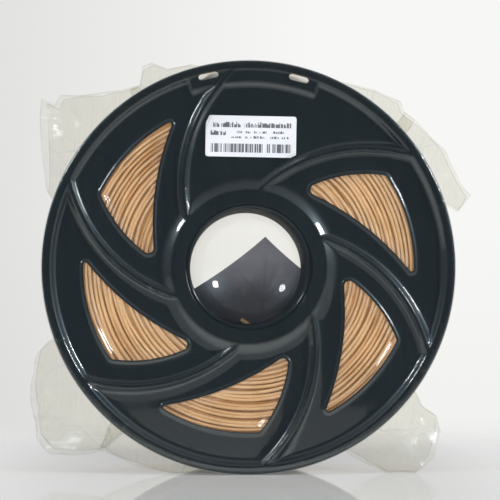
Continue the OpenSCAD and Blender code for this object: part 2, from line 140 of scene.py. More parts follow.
print(f"panel {PANEL_Z:.1f} mm and inner face {INNER_Z:.1f} mm over the middle")

# %% [markdown]
# ## From a list of points to a piece
#
# Every piece below ends as a mesh with a finish, tied to the frame's one body. One
# helper does all of this, so that no piece is forgotten. The faces are shaded smooth,
# and edges sharper than a given angle stay crisp, as they do on a moulding. Many pieces
# are drawn as rows of points, one ring beside the next, so a second helper joins such
# rows by faces.

# %% Turn points, and lay them on the spool
def polar(radius, turn):
    """Point or points at a radius and a turn in degrees."""
    turn = np.radians(turn)
    return np.stack([radius * np.cos(turn), radius * np.sin(turn)], axis=-1)


def turned(points, degrees):
    """Flat points turned about the axis."""
    c, s = math.cos(math.radians(degrees)), math.sin(math.radians(degrees))
    return np.asarray(points) @ np.array([[c, s], [-s, c]])


def facing_front(points):
    """Lays a piece that was drawn outer face up on to the front of the spool."""
    return np.stack([points[:, 0], -points[:, 2], points[:, 1]], axis=1)


def facing_rear(points):
    """The same, turned half round to face the other way."""
    return np.stack([-points[:, 0], points[:, 2], points[:, 1]], axis=1)


# %% Join rows of points by faces
def rows_of_faces(rows, count, closed=False):
    """Faces between rows of points. Each row is a ring; closed joins the last to the first."""
    return [(k * count + i, k * count + (i + 1) % count,
             (k + 1) % rows * count + (i + 1) % count, (k + 1) % rows * count + i)
            for k in range(rows if closed else rows - 1) for i in range(count)]


print(f"three rings of four points are joined by {len(rows_of_faces(3, 4))} faces")


# %% Make a piece
def new_thing(name, data):
    """An object in the scene, from its mesh, lamp or camera."""
    thing = bpy.data.objects.new(name, data)
    bpy.context.scene.collection.objects.link(thing)
    return thing


def turn_outwards(mesh):
    """Turns the faces of a closed mesh so that they all look out of it."""
    work = bmesh.new()
    work.from_mesh(mesh)
    bmesh.ops.recalc_face_normals(work, faces=work.faces)
    work.to_mesh(mesh)
    work.free()


def make_piece(name, points, faces, finish, slot, stands_for=(), crisp=40, solid=False):
    """A mesh from points in millimetres, with its finish and place in the frame. The slot is not
    used.
    """
    mesh = bpy.data.meshes.new(name)
    mesh.from_pydata([tuple(p) for p in np.asarray(points) * MM], [], [tuple(f) for f in faces])
    if solid:
        turn_outwards(mesh)
    mesh.polygons.foreach_set("use_smooth", [True] * len(mesh.polygons))
    mesh.set_sharp_from_angle(angle=math.radians(crisp))
    mesh.materials.append(finish)
    piece = new_thing(name, mesh)
    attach(piece, "root")
    if stands_for:
        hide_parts(*stands_for)
    print(f"{name}: {len(mesh.vertices)} points, {len(mesh.polygons)} faces")
    return piece


# %% [markdown]
# ## Finishes from nodes
#
# A finish is a small graph of nodes. Wired by hand, each would be a screen full of
# boxes; written down, the same few steps come back in all of them: a noise, a bit of
# arithmetic, one span of values laid on another, a blend of two shaders. So a graph
# here has one short call for each step. Numbers that are the same all over a surface
# are set straight on the shader.

# %% A graph that is wired by calls
class Graph:
    """The nodes of a material or a world. Each call adds a node and returns its output."""

    def __init__(self, owner):
        owner.use_nodes = True
        self.tree = owner.node_tree
        self.tree.nodes.clear()

    def add(self, kind, settings=None, **inputs):
        """Any node itself, with inputs by name, or as at0, at1 and so on by number."""
        node = self.tree.nodes.new("ShaderNode" + kind)
        for key, value in (settings or {}).items():
            setattr(node, key, value)
        for key, value in inputs.items():
            key = key.replace("_", " ")
            socket = node.inputs[int(key[2:])] if key.startswith("at") else node.inputs[key]
            if isinstance(value, bpy.types.NodeSocket):
                self.tree.links.new(value, socket)
            else:
                socket.default_value = value
        return node

    def place(self, kind="Object"):
        """Where a point lies on the piece."""
        return self.add("TexCoord").outputs[kind]

    def apart(self, vector):
        """The three numbers of a vector."""
        return self.add("SeparateXYZ", Vector=vector).outputs

    def noise(self, place, scale, detail, result="Fac", **more):
        """Soft random values, so many waves to the metre."""
        return self.add("TexNoise", Vector=place, Scale=scale, Detail=detail,
                        **more).outputs[result]

    def cells(self, place, scale, **settings):
        """Distance to the nearest of many scattered spots."""
        return self.add("TexVoronoi", settings, Vector=place, Scale=scale).outputs["Distance"]

    def maths(self, operation, *values, kind="Math", result=0, **settings):
        """One sum with numbers, or with vectors where kind says so."""
        numbered = {f"at{i}": value for i, value in enumerate(values)}
        return self.add(kind, {"operation": operation, **settings}, **numbered).outputs[result]

    def spread(self, value, span, onto, soft=False):
        """Lays one span of values on another, in a straight line or a soft curve."""
        return self.add("MapRange", {"interpolation_type": "SMOOTHSTEP" if soft else "LINEAR"},
                        Value=value, From_Min=span[0], From_Max=span[1],
                        To_Min=onto[0], To_Max=onto[1]).outputs[0]

    def ramp(self, factor, *stops):
        """A colour ramp from (place, colour) pairs."""
        node = self.add("ValToRGB", Fac=factor)
        elements = node.color_ramp.elements
        for place, _ in stops[2:]:
            elements.new(place)
        for element, (place, colour) in zip(elements, stops):
            element.position = place
            element.color = (*colour, 1)
        return node.outputs["Color"]

    def tint(self, share, first, second):
        """A colour between two others."""
        return self.add("Mix", {"data_type": "RGBA"}, Factor=share, at6=first,
                        at7=second).outputs[2]

    def bump(self, height, strength, distance, **more):
        """Dents and rises that only the light sees."""
        return self.add("Bump", Height=height, Strength=strength, Distance=distance,
                        **more).outputs[0]

    def solid(self, **inputs):
        """The shader for most surfaces."""
        return self.add("BsdfPrincipled", **inputs).outputs[0]

    def plain(self, kind, colour, **inputs):
        """A shader of another kind, in one colour."""
        return self.add(kind, Color=colour, **inputs).outputs[0]

    def blend(self, share, first, second):
        """A shader between two others."""
        return self.add("MixShader", Fac=share, at1=first, at2=second).outputs[0]

    def cover(self, shader, kind="Material"):
        """Gives the shader to the whole surface or world."""
        self.add("Output" + kind, Surface=shader)


def new_finish(name):
    """A material and its empty graph."""
    material = bpy.data.materials.new(name)
    print("finish:", name)
    return material, Graph(material)


# %% [markdown]
# ## Glossy moulded plastic
#
# The flanges are black polystyrene with a hint of blue, straight from a polished
# mould. Such plastic is never perfectly even: the gloss varies a little with the flow
# of the melt, and fine dust gathers under the film. A slow noise moves the roughness,
# and a few small specks lighten the colour. A clear coat gives the sharp gloss, and
# the base under it the soft bluish sheen. The inside of the hub has the base alone,
# and duller, because the core of its mould isn't polished.

# %% The plastic
DUST = (0.16, 0.18, 0.19)
SHEEN = 0.43, 0.50      # the base's roughness, from place to place
COATED = 0.16           # how much smoother it is under a coat
DULL, GLOSSY = 0.02, 0.5        # specular level without and with a coat


def moulded_plastic(name, shine, black):
    """Black plastic: a soft bluish sheen under a sharp gloss, or the sheen alone."""
    material, graph = new_finish(name)
    place = graph.place()
    specks = graph.spread(graph.cells(place, 420.0), (0.05, 0.09), (1.0, 0.0))
    thin = graph.spread(graph.noise(place, 60.0, 1.0), (0.6, 0.75), (0.0, 0.35))
    dusty = graph.maths("MULTIPLY", specks, thin)
    sheen = graph.spread(graph.noise(place, 35.0, 3.0), (0.3, 0.7),
                         [rough - COATED * shine for rough in SHEEN])
    graph.cover(graph.solid(
        Base_Color=graph.ramp(dusty, (0.0, black), (1.0, DUST)), Roughness=sheen, IOR=1.5,
        Normal=graph.bump(graph.noise(place, 900.0, 2.0), 0.02, 0.0002),
        Specular_IOR_Level=DULL + (GLOSSY - DULL) * shine, Specular_Tint=(0.62, 0.85, 1.0, 1),
        Coat_Weight=shine, Coat_Roughness=0.05))
    return material


plastic = moulded_plastic("glossy_black_plastic", 1.0, (0.0055, 0.0095, 0.0125))
hub_plastic = moulded_plastic("dull_black_plastic", 0.0, (0.013, 0.024, 0.031))

# %% [markdown]
# ## The shape of a flange
#
# A flange is a disc with a raised rim, a raised hub ring and six raised swirl ribs.
# It could be cut from solids, but a real moulding has no hard corners: each slope
# runs out softly at its foot and its crest. So the face is written as a height over
# the panel, worked out at any point from its distances to the rings, the ribs and the
# windows. The rim falls off steeply, the hub ring runs out in a hollow bank, and a rib
# is a low step with a bank on either side, which widens towards the rim. The same
# formula, with a little slack, later gives the film that lies on it.

# %% Slopes from a crest down to the panel
def ease(t, soft=0.09):
    """0 to 1 as a straight slope with rounded foot and crest."""
    t = np.clip(t, 0, 1)
    foot = t * t / (2 * soft * (1 - soft))
    crest = 1 - (1 - t) ** 2 / (2 * soft * (1 - soft))
    middle = (t - soft / 2) / (1 - soft)
    return np.where(t < soft, foot, np.where(t > 1 - soft, crest, middle))


# A slope of the moulding, with its crest at 0 and its foot at 1: steepness by place
SLOPE_PLACES, SLOPE_STEEP = (0, 0.08, 0.88, 1.02, 1.5), (0, 1, 0.74, 0.12, 0)
slope_places = np.linspace(0, SLOPE_PLACES[-1], 400)
slope_drops = np.cumsum(np.interp(slope_places, SLOPE_PLACES, SLOPE_STEEP))
slope_drops /= slope_drops[-1]


def fall(outwards, width):
    """1 on the crest to 0 on the panel: a crisp crest, a nearly straight slope, a soft foot."""
    return 1 - np.interp(outwards / width, slope_places, slope_drops)


def swell(outwards, length):
    """A low bank beside a step, from 1 at its top to 0, flatter and flatter."""
    return (1 - (outwards / length).clip(0, 1)) ** 2


shares = np.array([0.25, 0.5, 0.75])
print("along a slope:", fall(shares, 1).round(2), "and along a bank:", swell(shares, 1).round(2))


# %% Ribs and windows as distances
def away(points, middle):
    """Distance from a middle."""
    return np.hypot(points[..., 0] - middle[0], points[..., 1] - middle[1])


def turn_about(points, middle=(0.0, 0.0)):
    """Turn in degrees about a middle."""
    return np.degrees(np.arctan2(points[..., 1] - middle[1], points[..., 0] - middle[0]))


def turn_off(turns, middle):
    """How far turns in degrees lie off a middle one, either way round."""
    return np.abs((turns - middle + 180) % 360 - 180)


def arc_middle(a, b, radius):
    """Middle of the arc of a given radius from a to b, right of the way from a to b."""
    half = (b - a) / 2
    side = np.array([half[1], -half[0]]) / np.hypot(*half)
    return (a + b) / 2 + side * math.sqrt(radius ** 2 - half @ half)


FAR = 1e3
rib_hub_end = polar(HUB_CREST_R, RIB_HUB_TURN)
rib_rim_end = polar(RIM_CREST_R, RIB_RIM_TURN)
rib_mid = arc_middle(rib_hub_end, rib_rim_end, RIB_R)
rib_turns = turn_about(np.array([rib_rim_end, rib_hub_end]), rib_mid)
sweep_mid = turned(rib_mid, -SECTOR_TURN) - polar(SWEEP_R - RIB_R - SWEEP_GAP, SWEEP_TURN)
print(f"rib arcs turn about {rib_mid.round(1)}, window sweeps about {sweep_mid.round(1)}")


def in_window(points):
    """Below zero inside the nearest window and above zero outside, corners left square."""
    least = np.full(len(points), FAR)
    for k in OPEN_SECTORS:
        q = turned(points, -k * SECTOR_TURN)
        sides = [away(q, (0, 0)) - WINDOW_R, away(q, rib_mid) - (RIB_R - WINDOW_RIB_GAP),
                 SWEEP_R - away(q, sweep_mid)]
        least = np.minimum(least, np.maximum.reduce(sides))
    return least


# %% A window's outline
def crossing(mid_a, radius_a, mid_b, radius_b, near):
    """The point where two circles cross that lies nearer to a given one."""
    a, b = np.asarray(mid_a, float), np.asarray(mid_b, float)
    gap = np.hypot(*(b - a))
    along = (gap ** 2 + radius_a ** 2 - radius_b ** 2) / (2 * gap)
    across = math.sqrt(radius_a ** 2 - along ** 2)
    ahead = (b - a) / gap
    side = np.array([-ahead[1], ahead[0]])
    pair = [a + ahead * along + side * across, a + ahead * along - side * across]
    return min(pair, key=lambda p: np.hypot(*(p - near)))


def arc(mid, radius, start, end, steps):
    """Points on an arc."""
    return np.asarray(mid) + polar(radius, np.linspace(start, end, steps))


def window_loop(grow):
    """The first window's outline, grown outwards or, below zero, shrunk inwards."""
    ra, rb, rc = (max(corner + grow, 0.3) for corner in WINDOW_CORNERS)
    rim, rib, sweep = WINDOW_R + grow, RIB_R - WINDOW_RIB_GAP + grow, SWEEP_R - grow
    near_a, near_b, near_c = CORNERS_NEAR
    a = crossing((0, 0), rim - ra, rib_mid, rib - ra, near_a)
    b = crossing((0, 0), rim - rb, sweep_mid, sweep + rb, near_b)
    c = crossing(rib_mid, rib - rc, sweep_mid, sweep + rc, near_c)
    a0, a1 = turn_about(a), turn_about(a, rib_mid)
    c1, c2 = turn_about(c, rib_mid), turn_about(c, sweep_mid)
    b2, b0 = turn_about(b, sweep_mid), turn_about(b)
    pieces = [
        arc((0, 0), rim, b0, a0, 34), arc(a, ra, a0, a1, 8),
        arc(rib_mid, rib, a1, c1, 34), arc(c, rc, c1, c2 + 180, 12),
        arc(sweep_mid, sweep, c2, b2, 46), arc(b, rb, b2 + 180, b0 + 360, 12)]
    return np.concatenate([piece[:-1] for piece in pieces])


outline = window_loop(0)
print(f"a window's outline has {len(outline)} points")

# %% Distance from any point to the nearest window's edge
def inside_outline(points, outline):
    """Which points lie inside a closed outline."""
    inside = np.zeros(len(points), bool)
    for a, b in zip(outline, np.roll(outline, -1, axis=0)):
        spans = (a[1] > points[:, 1]) != (b[1] > points[:, 1])
        cross = a[0] + (points[:, 1] - a[1]) * (b[0] - a[0]) / (b[1] - a[1] + 1e-12)
        inside ^= spans & (points[:, 0] < cross)
    return inside


edge_tree = KDTree(len(OPEN_SECTORS) * len(outline) * 4)
for k in OPEN_SECTORS:
    loop = turned(outline, k * SECTOR_TURN)
    ahead = np.roll(loop, -1, axis=0)
    for share in (0, 0.25, 0.5, 0.75):
        for p in loop + (ahead - loop) * share:
            edge_tree.insert((p[0], p[1], 0), 0)
edge_tree.balance()


CLOSE = 9               # further off, a rough distance will do


def window_gap(points):
    """Distance outwards from the nearest window's edge, below zero inside it."""
    gap = in_window(points)
    close = np.flatnonzero(np.abs(gap) < CLOSE)
    inside = np.zeros(len(close), bool)
    for k in OPEN_SECTORS:
        inside |= inside_outline(points[close], turned(outline, k * SECTOR_TURN))
    gap[close] = [edge_tree.find((*points[i], 0))[2] for i in close]
    gap[close[inside]] *= -1
    return gap


# %% The height of the face over its panel
def slot_pad(points, slack):
    """A low pad round the slots, with a step at its inner edge and at both ends."""
    radius = np.hypot(*points.T)
    inwards = fall(PAD_R - radius, PAD_SLOPE + slack)
    aside = turn_off(turn_about(points), SLOT_TURN) - PAD_SPAN / 2
    past_end = aside * math.pi / 180 * radius + PAD_END
    ends = fall(past_end, PAD_END + slack)
    return inwards * ends * (RELIEF - PAD_DROP)


def ribs(points, slack):
    """A rib is a low step on a wide bank. Its outer side widens towards the rim."""
    height = np.zeros(len(points))
    middle_turn, half_turn = rib_turns.mean(), np.ptp(rib_turns) / 2 + RIB_OVERRUN
    for k in range(SECTORS):
        q = turned(points, -k * SECTOR_TURN)
        off = away(q, rib_mid) - RIB_R
        on_rib = turn_off(turn_about(q, rib_mid), middle_turn) < half_turn
        near = RIB_NEAR_SLOPE + slack
        far = np.interp(np.hypot(*q.T), (HUB_CREST_R, RIM_CREST_R), RIB_FAR_SLOPES) + slack
        rise = np.minimum(fall(-off - RIB_W / 2, near), fall(off - RIB_W / 2, far)) * RIB_STEP
        rise += swell(np.abs(off) - RIB_W / 2, RIB_BANK) * (1 - RIB_STEP)
        height = np.maximum(height, np.where(on_rib, rise, 0))
    return height * (RELIEF - RIB_DROP)


def relief(points, gap, slack=0.0):
    """Height of the moulding over its panel; slack widens every slope."""
    radius = np.hypot(*points.T)
    rim = RELIEF * fall(RIM_CREST_R - radius, RIM_SLOPE + slack)
    outwards = np.hypot(np.maximum(radius - HUB_CREST_R, 0), HUB_CREST_ROUND) - HUB_CREST_ROUND
    hub = RELIEF * swell(outwards, HUB_SLOPE + slack)
    lip = LIP_H * ease((LIP_W + slack - gap) / (LIP_SLOPE + slack), soft=0.2)
    return np.maximum.reduce([rim, hub, ribs(points, slack), slot_pad(points, slack), lip])


spots = polar(np.array([RIM_CREST_R, WINDOW_R + 1, HUB_CREST_R]), 0)
print("rim, window lip and hub ring rise by", relief(spots, window_gap(spots)).round(2), "mm")

# %% [markdown]
# ## A net of points that follows the shape
#
# A height field on a square grid shows steps wherever a slope runs across the grid. So
# the points are laid along the features instead: in rings on the rim and the hub,
# along each rib, and round each window. Wide panels get a loose grid. A Delaunay
# triangulation then joins all of them, and keeps the outlines as edges.

# %% Points along the features
def ring_points(radii, count=420):
    """Rings, each turned half a step against the one before."""
    turns = np.linspace(0, 360, count, endpoint=False)
    return [polar(r, turns + (i % 2) * 180 / count) for i, r in enumerate(radii)]


def rib_points(offsets, step=1.1):
    """Lines beside the crest of every rib."""
    length = math.radians(np.ptp(rib_turns)) * RIB_R
    turns = np.linspace(rib_turns[0] - 3, rib_turns[1] + 3, int(length / step))
    lines = [np.asarray(rib_mid) + polar(RIB_R + off, turns) for off in offsets]
    return [turned(line, k * SECTOR_TURN) for k in range(SECTORS) for line in lines]


def window_points(grows):
    """Lines round every window."""
    return [turned(window_loop(g), k * SECTOR_TURN) for k in OPEN_SECTORS for g in grows]


def pad_points():
    """Arcs along the pad's inner edge, and lines down both its ends."""
    turns = np.linspace(-PAD_SPAN / 2, PAD_SPAN / 2, 64) + SLOT_TURN
    arcs = [polar(r, turns) for r in np.arange(PAD_R - PAD_SLOPE * 1.8, PAD_R + 0.3, 0.4)]
    radii = np.arange(PAD_R - PAD_SLOPE, RIM_CREST_R, 0.7)
    ends = [polar(radii, SLOT_TURN + side * (PAD_SPAN / 2 - inset))
            for side in (-1, 1) for inset in np.arange(-0.8, 1.3, 0.22)]
    return arcs + ends


def loose_grid(step):
    """Points all over, in rows that are shifted by turns."""
    line = np.arange(-FLANGE_R, FLANGE_R, step)
    grid = np.stack(np.meshgrid(line, line), axis=-1)
    grid[1::2, :, 0] += step / 2
    return [grid.reshape(-1, 2)]


def thin_out(groups, kept, spacing):
    """Keeps a point only where no kept one lies closer than the spacing."""
    cells = {}
    result = []

    def taken(p):
        """Whether a kept point lies closer than the spacing."""
        i, j = int(p[0] // spacing), int(p[1] // spacing)
        for a in (i - 1, i, i + 1):
            for b in (j - 1, j, j + 1):
                for q in cells.get((a, b), ()):
                    if (p[0] - q[0]) ** 2 + (p[1] - q[1]) ** 2 < spacing ** 2:
                        return True
        return False

    for group, is_loop in [(g, True) for g in kept] + [(g, False) for g in groups]:
        for p in group:
            if is_loop or not taken(p):
                cells.setdefault((int(p[0] // spacing), int(p[1] // spacing)), []).append(p)
                if not is_loop:
                    result.append(p)
    return np.array(result).reshape(-1, 2)


print(f"{len(rib_points([0]))} ribs with {len(rib_points([0])[0])} points along each line, "
      f"{len(window_points([0]))} windows with {len(window_points([0])[0])}")

# %% Join the points by triangles
def join_points(loops, others, keep):
    """Triangles over loops and other points. Returns the points, the triangles that
    keep() accepts by their middles, and where each loop's points went."""
    starts = np.cumsum([0] + [len(loop) for loop in loops]).tolist()
    spans = [range(start, stop) for start, stop in zip(starts, starts[1:])]
    edges = [(i, i + 1 if i + 1 in span else span[0]) for span in spans for i in span]
    flat, _, faces, origins, _, _ = delaunay_2d_cdt(
        [Vector(p) for p in np.concatenate([*loops, others])], edges, [], 0, 1e-6)
    flat = np.array([tuple(p) for p in flat])
    faces = np.array(faces)
    faces = faces[keep(flat[faces].mean(axis=1))]
    place = {old: new for new, olds in enumerate(origins) for old in olds}
    return flat, faces, [[place[i] for i in span] for span in spans]


# %% The slots near the edge, for a loose end of filament
def slot_loop(side, grow):
    """A slot's outline, grown outwards. It is a straight slot with round ends."""
    half = (SLOT_L - SLOT_W) / 2
    ends = np.concatenate([polar(SLOT_W / 2 + grow, np.linspace(0, 180, 10)) + (0, half),
                           polar(SLOT_W / 2 + grow, np.linspace(180, 360, 10)) - (0, half)])
    return turned(ends + (SLOT_R, 0), SLOT_TURN + side * SLOT_APART / 2)


def slot_gap(points):
    """Distance outwards from the edge of the nearest slot."""
    least = np.full(len(points), FAR)
    half = (SLOT_L - SLOT_W) / 2
    for side in (-1, 1):
        q = turned(points, -(SLOT_TURN + side * SLOT_APART / 2)) - (SLOT_R, 0)
        reach = np.maximum(np.abs(q[:, 1]) - half, 0)
        least = np.minimum(least, np.hypot(q[:, 0], reach) - SLOT_W / 2)
    return least


print(f"slots of {SLOT_L} by {SLOT_W} mm, {SLOT_APART} degrees apart")

# %% [markdown]
# ## One moulding, used twice
#
# Front and rear flange are the same moulding, so the mesh is made once and laid on
# both ends of the spool. Its face is the net above. The edges of the windows, the
# slots, the rim and the hub hole are rounded by a few rings that lead down to the
# flat inner face, which closes the body.

# %% Every opening of the flange
SOFT_EDGE = 0.35        # rounding at windows and slots
around_rim = np.linspace(0, 360, 480, endpoint=False)
around_hub = np.linspace(0, 360, 200, endpoint=False)
# Each opening's outline as a function of how far it is grown
openings = [lambda g, k=k: turned(window_loop(g), k * SECTOR_TURN) for k in OPEN_SECTORS]
openings += [lambda g, s=s: slot_loop(s, g) for s in (-1, 1)]
openings += [lambda g: polar(HUB_HOLE_R + g, around_hub)]
print(f"the flange has {len(openings)} openings")


def clear_of_openings(points, hub, window, slot):
    """Which points lie further than this from the hub hole, the windows and the slots."""
    return ((np.hypot(*points.T) > HUB_HOLE_R + hub) & (window_gap(points) > window)
            & (slot_gap(points) > slot))


# %% The flange's face
RIB_LINES = (-5.4, -4.5, -3.8, -3.3, -2.9, -2.5, -2.1, -1.7, -1.3, -1.05, -0.8, -0.4, 0, 0.4, 0.8,
             1.05, 1.3, 1.7, 2.1, 2.5, 2.9, 3.3, 3.7, 4.1, 4.5, 5.2, 6.1, 7.2)


def slope_radii(crest, width, before, steps):
    """Radii from just before a slope's crest to well past its foot."""
    shares = (*before, *np.linspace(0, 1.05, steps), 1.12, 1.25, 1.4, 1.6)
    return [crest + width * share for share in shares]


def flange_face():
    """The face's points, its triangles, and where the points of each outline went."""
    tops = [shape(SOFT_EDGE) for shape in openings] + [polar(FLANGE_R - EDGE_ROUND, around_rim)]
    radii = slope_radii(HUB_CREST_R, HUB_SLOPE, [-0.1], 12)
    radii += slope_radii(RIM_CREST_R, -RIM_SLOPE, [-0.12], 10)
    radii += [HUB_HOLE_R + 1.5, HUB_HOLE_R + 3.5, RIM_CREST_R + 1.4, FLANGE_R - 1.8]
    groups = ring_points(radii) + window_points((0.8, 1.1, 1.4, 1.8, 2.3, 3.2))
    groups += rib_points(RIB_LINES) + pad_points() + loose_grid(3.0)
    others = thin_out(groups, tops, 0.34)
    inside = clear_of_openings(others, SOFT_EDGE + 0.3, SOFT_EDGE + 0.2, SOFT_EDGE + 0.2)
    inside &= np.hypot(*others.T) < FLANGE_R - EDGE_ROUND - 0.3
    return join_points(tops, others[inside], lambda p: clear_of_openings(
        p, SOFT_EDGE, SOFT_EDGE * 0.98, SOFT_EDGE * 0.9))


# %% Round the edges, lead them down and close the body
INNER_CHAMFER = 0.8     # at the foot of the flange's outer edge


def edge_steps(number, top):
    """The loops that lead from an outline's edge down to the inner face."""
    if number < len(openings):
        rounded = [(SOFT_EDGE * (1 - math.sin(t)), top - SOFT_EDGE * (1 - math.cos(t)))
                   for t in np.linspace(0, math.pi / 2, 5)[1:]]
        return [(openings[number](g), z) for g, z in rounded + [(0, INNER_Z)]]
    outside = [(FLANGE_R - EDGE_ROUND + EDGE_ROUND * math.sin(t),
                top - EDGE_ROUND + EDGE_ROUND * math.cos(t))
               for t in np.linspace(0, math.pi / 2, 6)[1:]]
    outside += [(FLANGE_R, INNER_Z + INNER_CHAMFER), (FLANGE_R - INNER_CHAMFER, INNER_Z)]
    return [(polar(r, around_rim), z) for r, z in outside]


def flange_body():
    """The whole moulding, drawn outer face up."""
    flat, faces, found = flange_face()
    heights = PANEL_Z + relief(flat, window_gap(flat))
    points = [np.column_stack([flat, heights])]
    faces = [tuple(f) for f in faces]
    total = len(flat)
    feet, names = [], []
    for number, above in enumerate(found):
        for ring, z in edge_steps(number, heights[above].mean()):
            n = len(ring)
            here = list(range(total, total + n))
            points.append(np.column_stack([ring, np.full(n, z)]))
            total += n
            faces += [(above[i], above[(i + 1) % n], here[(i + 1) % n], here[i]) for i in range(n)]
            above = here
        feet.append(ring)
        names += above
    # The flat inner face, between the feet of all the walls
    _, lower, found = join_points(feet, np.zeros((0, 2)),
                                  lambda p: clear_of_openings(p, 0, 0.02, 0))
    rename = dict(zip([i for loop in found for i in loop], names))
    faces += [tuple(rename[i] for i in f) for f in lower]
    return np.concatenate(points), faces


flange_points, flange_faces = flange_body()
for side, laid in (("front", facing_front), ("rear", facing_rear)):
    make_piece(f"{side}_flange_moulding", laid(flange_points), flange_faces, plastic,
               "spool_plastic", [f"{side}_flange"], solid=True)

# %% [markdown]
# ## The hub
#
# The hub is turned about the spool's axis: a bore tube with rounded mouths inside, and
# the drum outside, joined by webs. Turned pieces are made by sweeping a profile round
# the axis, in small enough steps that the gloss of the mouths stays even. The mouths
# are polished, and the bore behind them is dull from the core that was pulled out.

# %% Sweep a profile round the axis
def lathe(profile, steps=192):
    """Points and faces of a closed profile of (radius, height) swept round the axis."""
    turns = np.linspace(0, 360, steps, endpoint=False)
    rings = [np.column_stack([polar(r, turns), np.full(steps, z)]) for r, z in profile]
    return np.concatenate(rings), rows_of_faces(len(profile), steps, closed=True)


def merge(bodies):
    """Several bodies of points and faces as one."""
    points, faces, start = [], [], 0
    for p, f in bodies:
        points.append(p)
        faces += [tuple(i + start for i in face) for face in f]
        start += len(p)
    return np.concatenate(points), faces


# %% The hub: tube, drum and webs
MOUTH_ROUND = 1.4
TUBE_WALL, DRUM_WALL = 2, 2
WEBS, WEB_T, WEB_INSET = 6, 1.6, 11


def hub_bodies():
    """The hub's tube, drum and webs, drawn about the axis."""
    mouth = [(BORE_R + MOUTH_ROUND * (1 - math.cos(t)), HALF_W - MOUTH_ROUND * (1 - math.sin(t)))
             for t in np.linspace(0, math.pi / 2, 9)]
    tube = mouth + [(BORE_R + TUBE_WALL, HALF_W), (BORE_R + TUBE_WALL, -HALF_W)]
    tube += [(r, -z) for r, z in reversed(mouth)] + [(BORE_R, 0)]
    drum = [(DRUM_R - DRUM_WALL, -INNER_Z), (DRUM_R, -INNER_Z), (DRUM_R, INNER_Z),
            (DRUM_R - DRUM_WALL, INNER_Z)]
    bodies = [lathe(tube), lathe(drum)]
    half = INNER_Z - WEB_INSET
    web = np.array([(x, y, z) for x in (BORE_R + 1, DRUM_R - 1)
                    for y in (-WEB_T / 2, WEB_T / 2) for z in (-half, half)])
    sides = [(0, 1, 3, 2), (4, 6, 7, 5), (0, 4, 5, 1), (2, 3, 7, 6), (0, 2, 6, 4), (1, 5, 7, 3)]
    for k in range(WEBS):
        bodies.append((np.column_stack([turned(web[:, :2], 360 / WEBS * k), web[:, 2]]), sides))
    return merge(bodies)


hub_points, hub_faces = hub_bodies()
hub = make_piece("hub", facing_front(hub_points), hub_faces, hub_plastic, "spool_plastic",
                 ["hub_core"], crisp=50, solid=True)
hub.data.materials.append(plastic)
for face in hub.data.polygons:
    face.material_index = int(abs(face.center.y) > (HALF_W - MOUTH_ROUND) * MM)

# %% [markdown]
# ## Wood-filled filament
#
# This filament is plastic with fine wood dust in it: tan, nearly matt, with darker and
# lighter grains, and its colour drifts along the strand. The grains have no direction,
# because the strands run in every direction round the spool. Light reaches a strand
# that lies under others by way of its brown neighbours, so the wound filament's colour
# is painted browner and darker with depth: painted shade, which a few bounces of light
# alone would show too weakly.

# %% The filament's finish
SHADE_DEPTHS = 1.5, 0.35        # full shade and no shade, under the flank's plane


def wood_filament(name, shade=None):
    """Wood-filled plastic, with painted shade where it lies deep in the winding."""
    material, graph = new_finish(name)
    place = graph.place()
    dust = graph.noise(place, 2600.0, 4.0, Roughness=0.7)
    drift = graph.maths("MULTIPLY_ADD", graph.noise(place, 55.0, 2.0), 0.3, 0.05)
    colour = graph.ramp(graph.maths("MULTIPLY_ADD", dust, 0.6, drift),
                        (0.30, (0.46, 0.26, 0.125)), (0.46, (0.75, 0.47, 0.25)),
                        (0.54, (0.86, 0.57, 0.32)), (0.70, (0.93, 0.68, 0.42)))
    if shade:
        # Painted shade: strands that lie deeper under the flank's plane get a darker, browner
        # colour
        out = graph.maths("ABSOLUTE", graph.apart(place)["Y"])
        open_share = graph.spread(out, [(WIND_HALF - depth) * MM for depth in SHADE_DEPTHS],
                                  (0.0, 1.0), soft=True)
        painted_shade = graph.ramp(open_share, (0.0, shade), (1.0, (1.0, 1.0, 1.0)))
        colour = graph.maths("MULTIPLY", colour, painted_shade, kind="VectorMath")
    graph.cover(graph.solid(Base_Color=colour, Roughness=0.38, IOR=1.5,
                            Normal=graph.bump(dust, 0.25, 0.0001)))
    return material


filament = wood_filament("wood_filament")
wound = wood_filament("wound_wood_filament", shade=(0.78, 0.66, 0.51))

# %% [markdown]
# ## Winding the strand
#
# On the flanks one sees the strand turn by turn. A turn keeps its radius for most of
# the way round, then climbs to the next layer, so a flank is one long spiral with
# short steps in it. No turn lies perfectly: it wavers and sits a little deeper or
# higher than its neighbours, which is what makes the dark lines between them uneven.
# The tube follows this path, a second spiral lies behind it, and a plain core behind
# both closes the view.

# %% A tube along a path
FILAMENT_D = 1.75


def tube(path, radius, sides=8):
    """A round tube along a path, capped at both ends."""
    ahead = np.gradient(path, axis=0)
    ahead /= np.linalg.norm(ahead, axis=1, keepdims=True)
    guide = np.where(np.abs(ahead[:, 2:3]) > 0.9, [[1.0, 0.0, 0.0]], [[0.0, 0.0, 1.0]])
    side = np.cross(ahead, guide)
    side /= np.linalg.norm(side, axis=1, keepdims=True)
    up = np.cross(side, ahead)
    angles = np.linspace(0, 2 * math.pi, sides, endpoint=False)
    rings = path[:, None, :] + radius * (side[:, None, :] * np.cos(angles)[None, :, None]
                                         + up[:, None, :] * np.sin(angles)[None, :, None])
    count = len(path)
    faces = rows_of_faces(count, sides)
    faces += [tuple(range(sides))[::-1], tuple(range((count - 1) * sides, count * sides))]
    return rings.reshape(-1, 3), faces


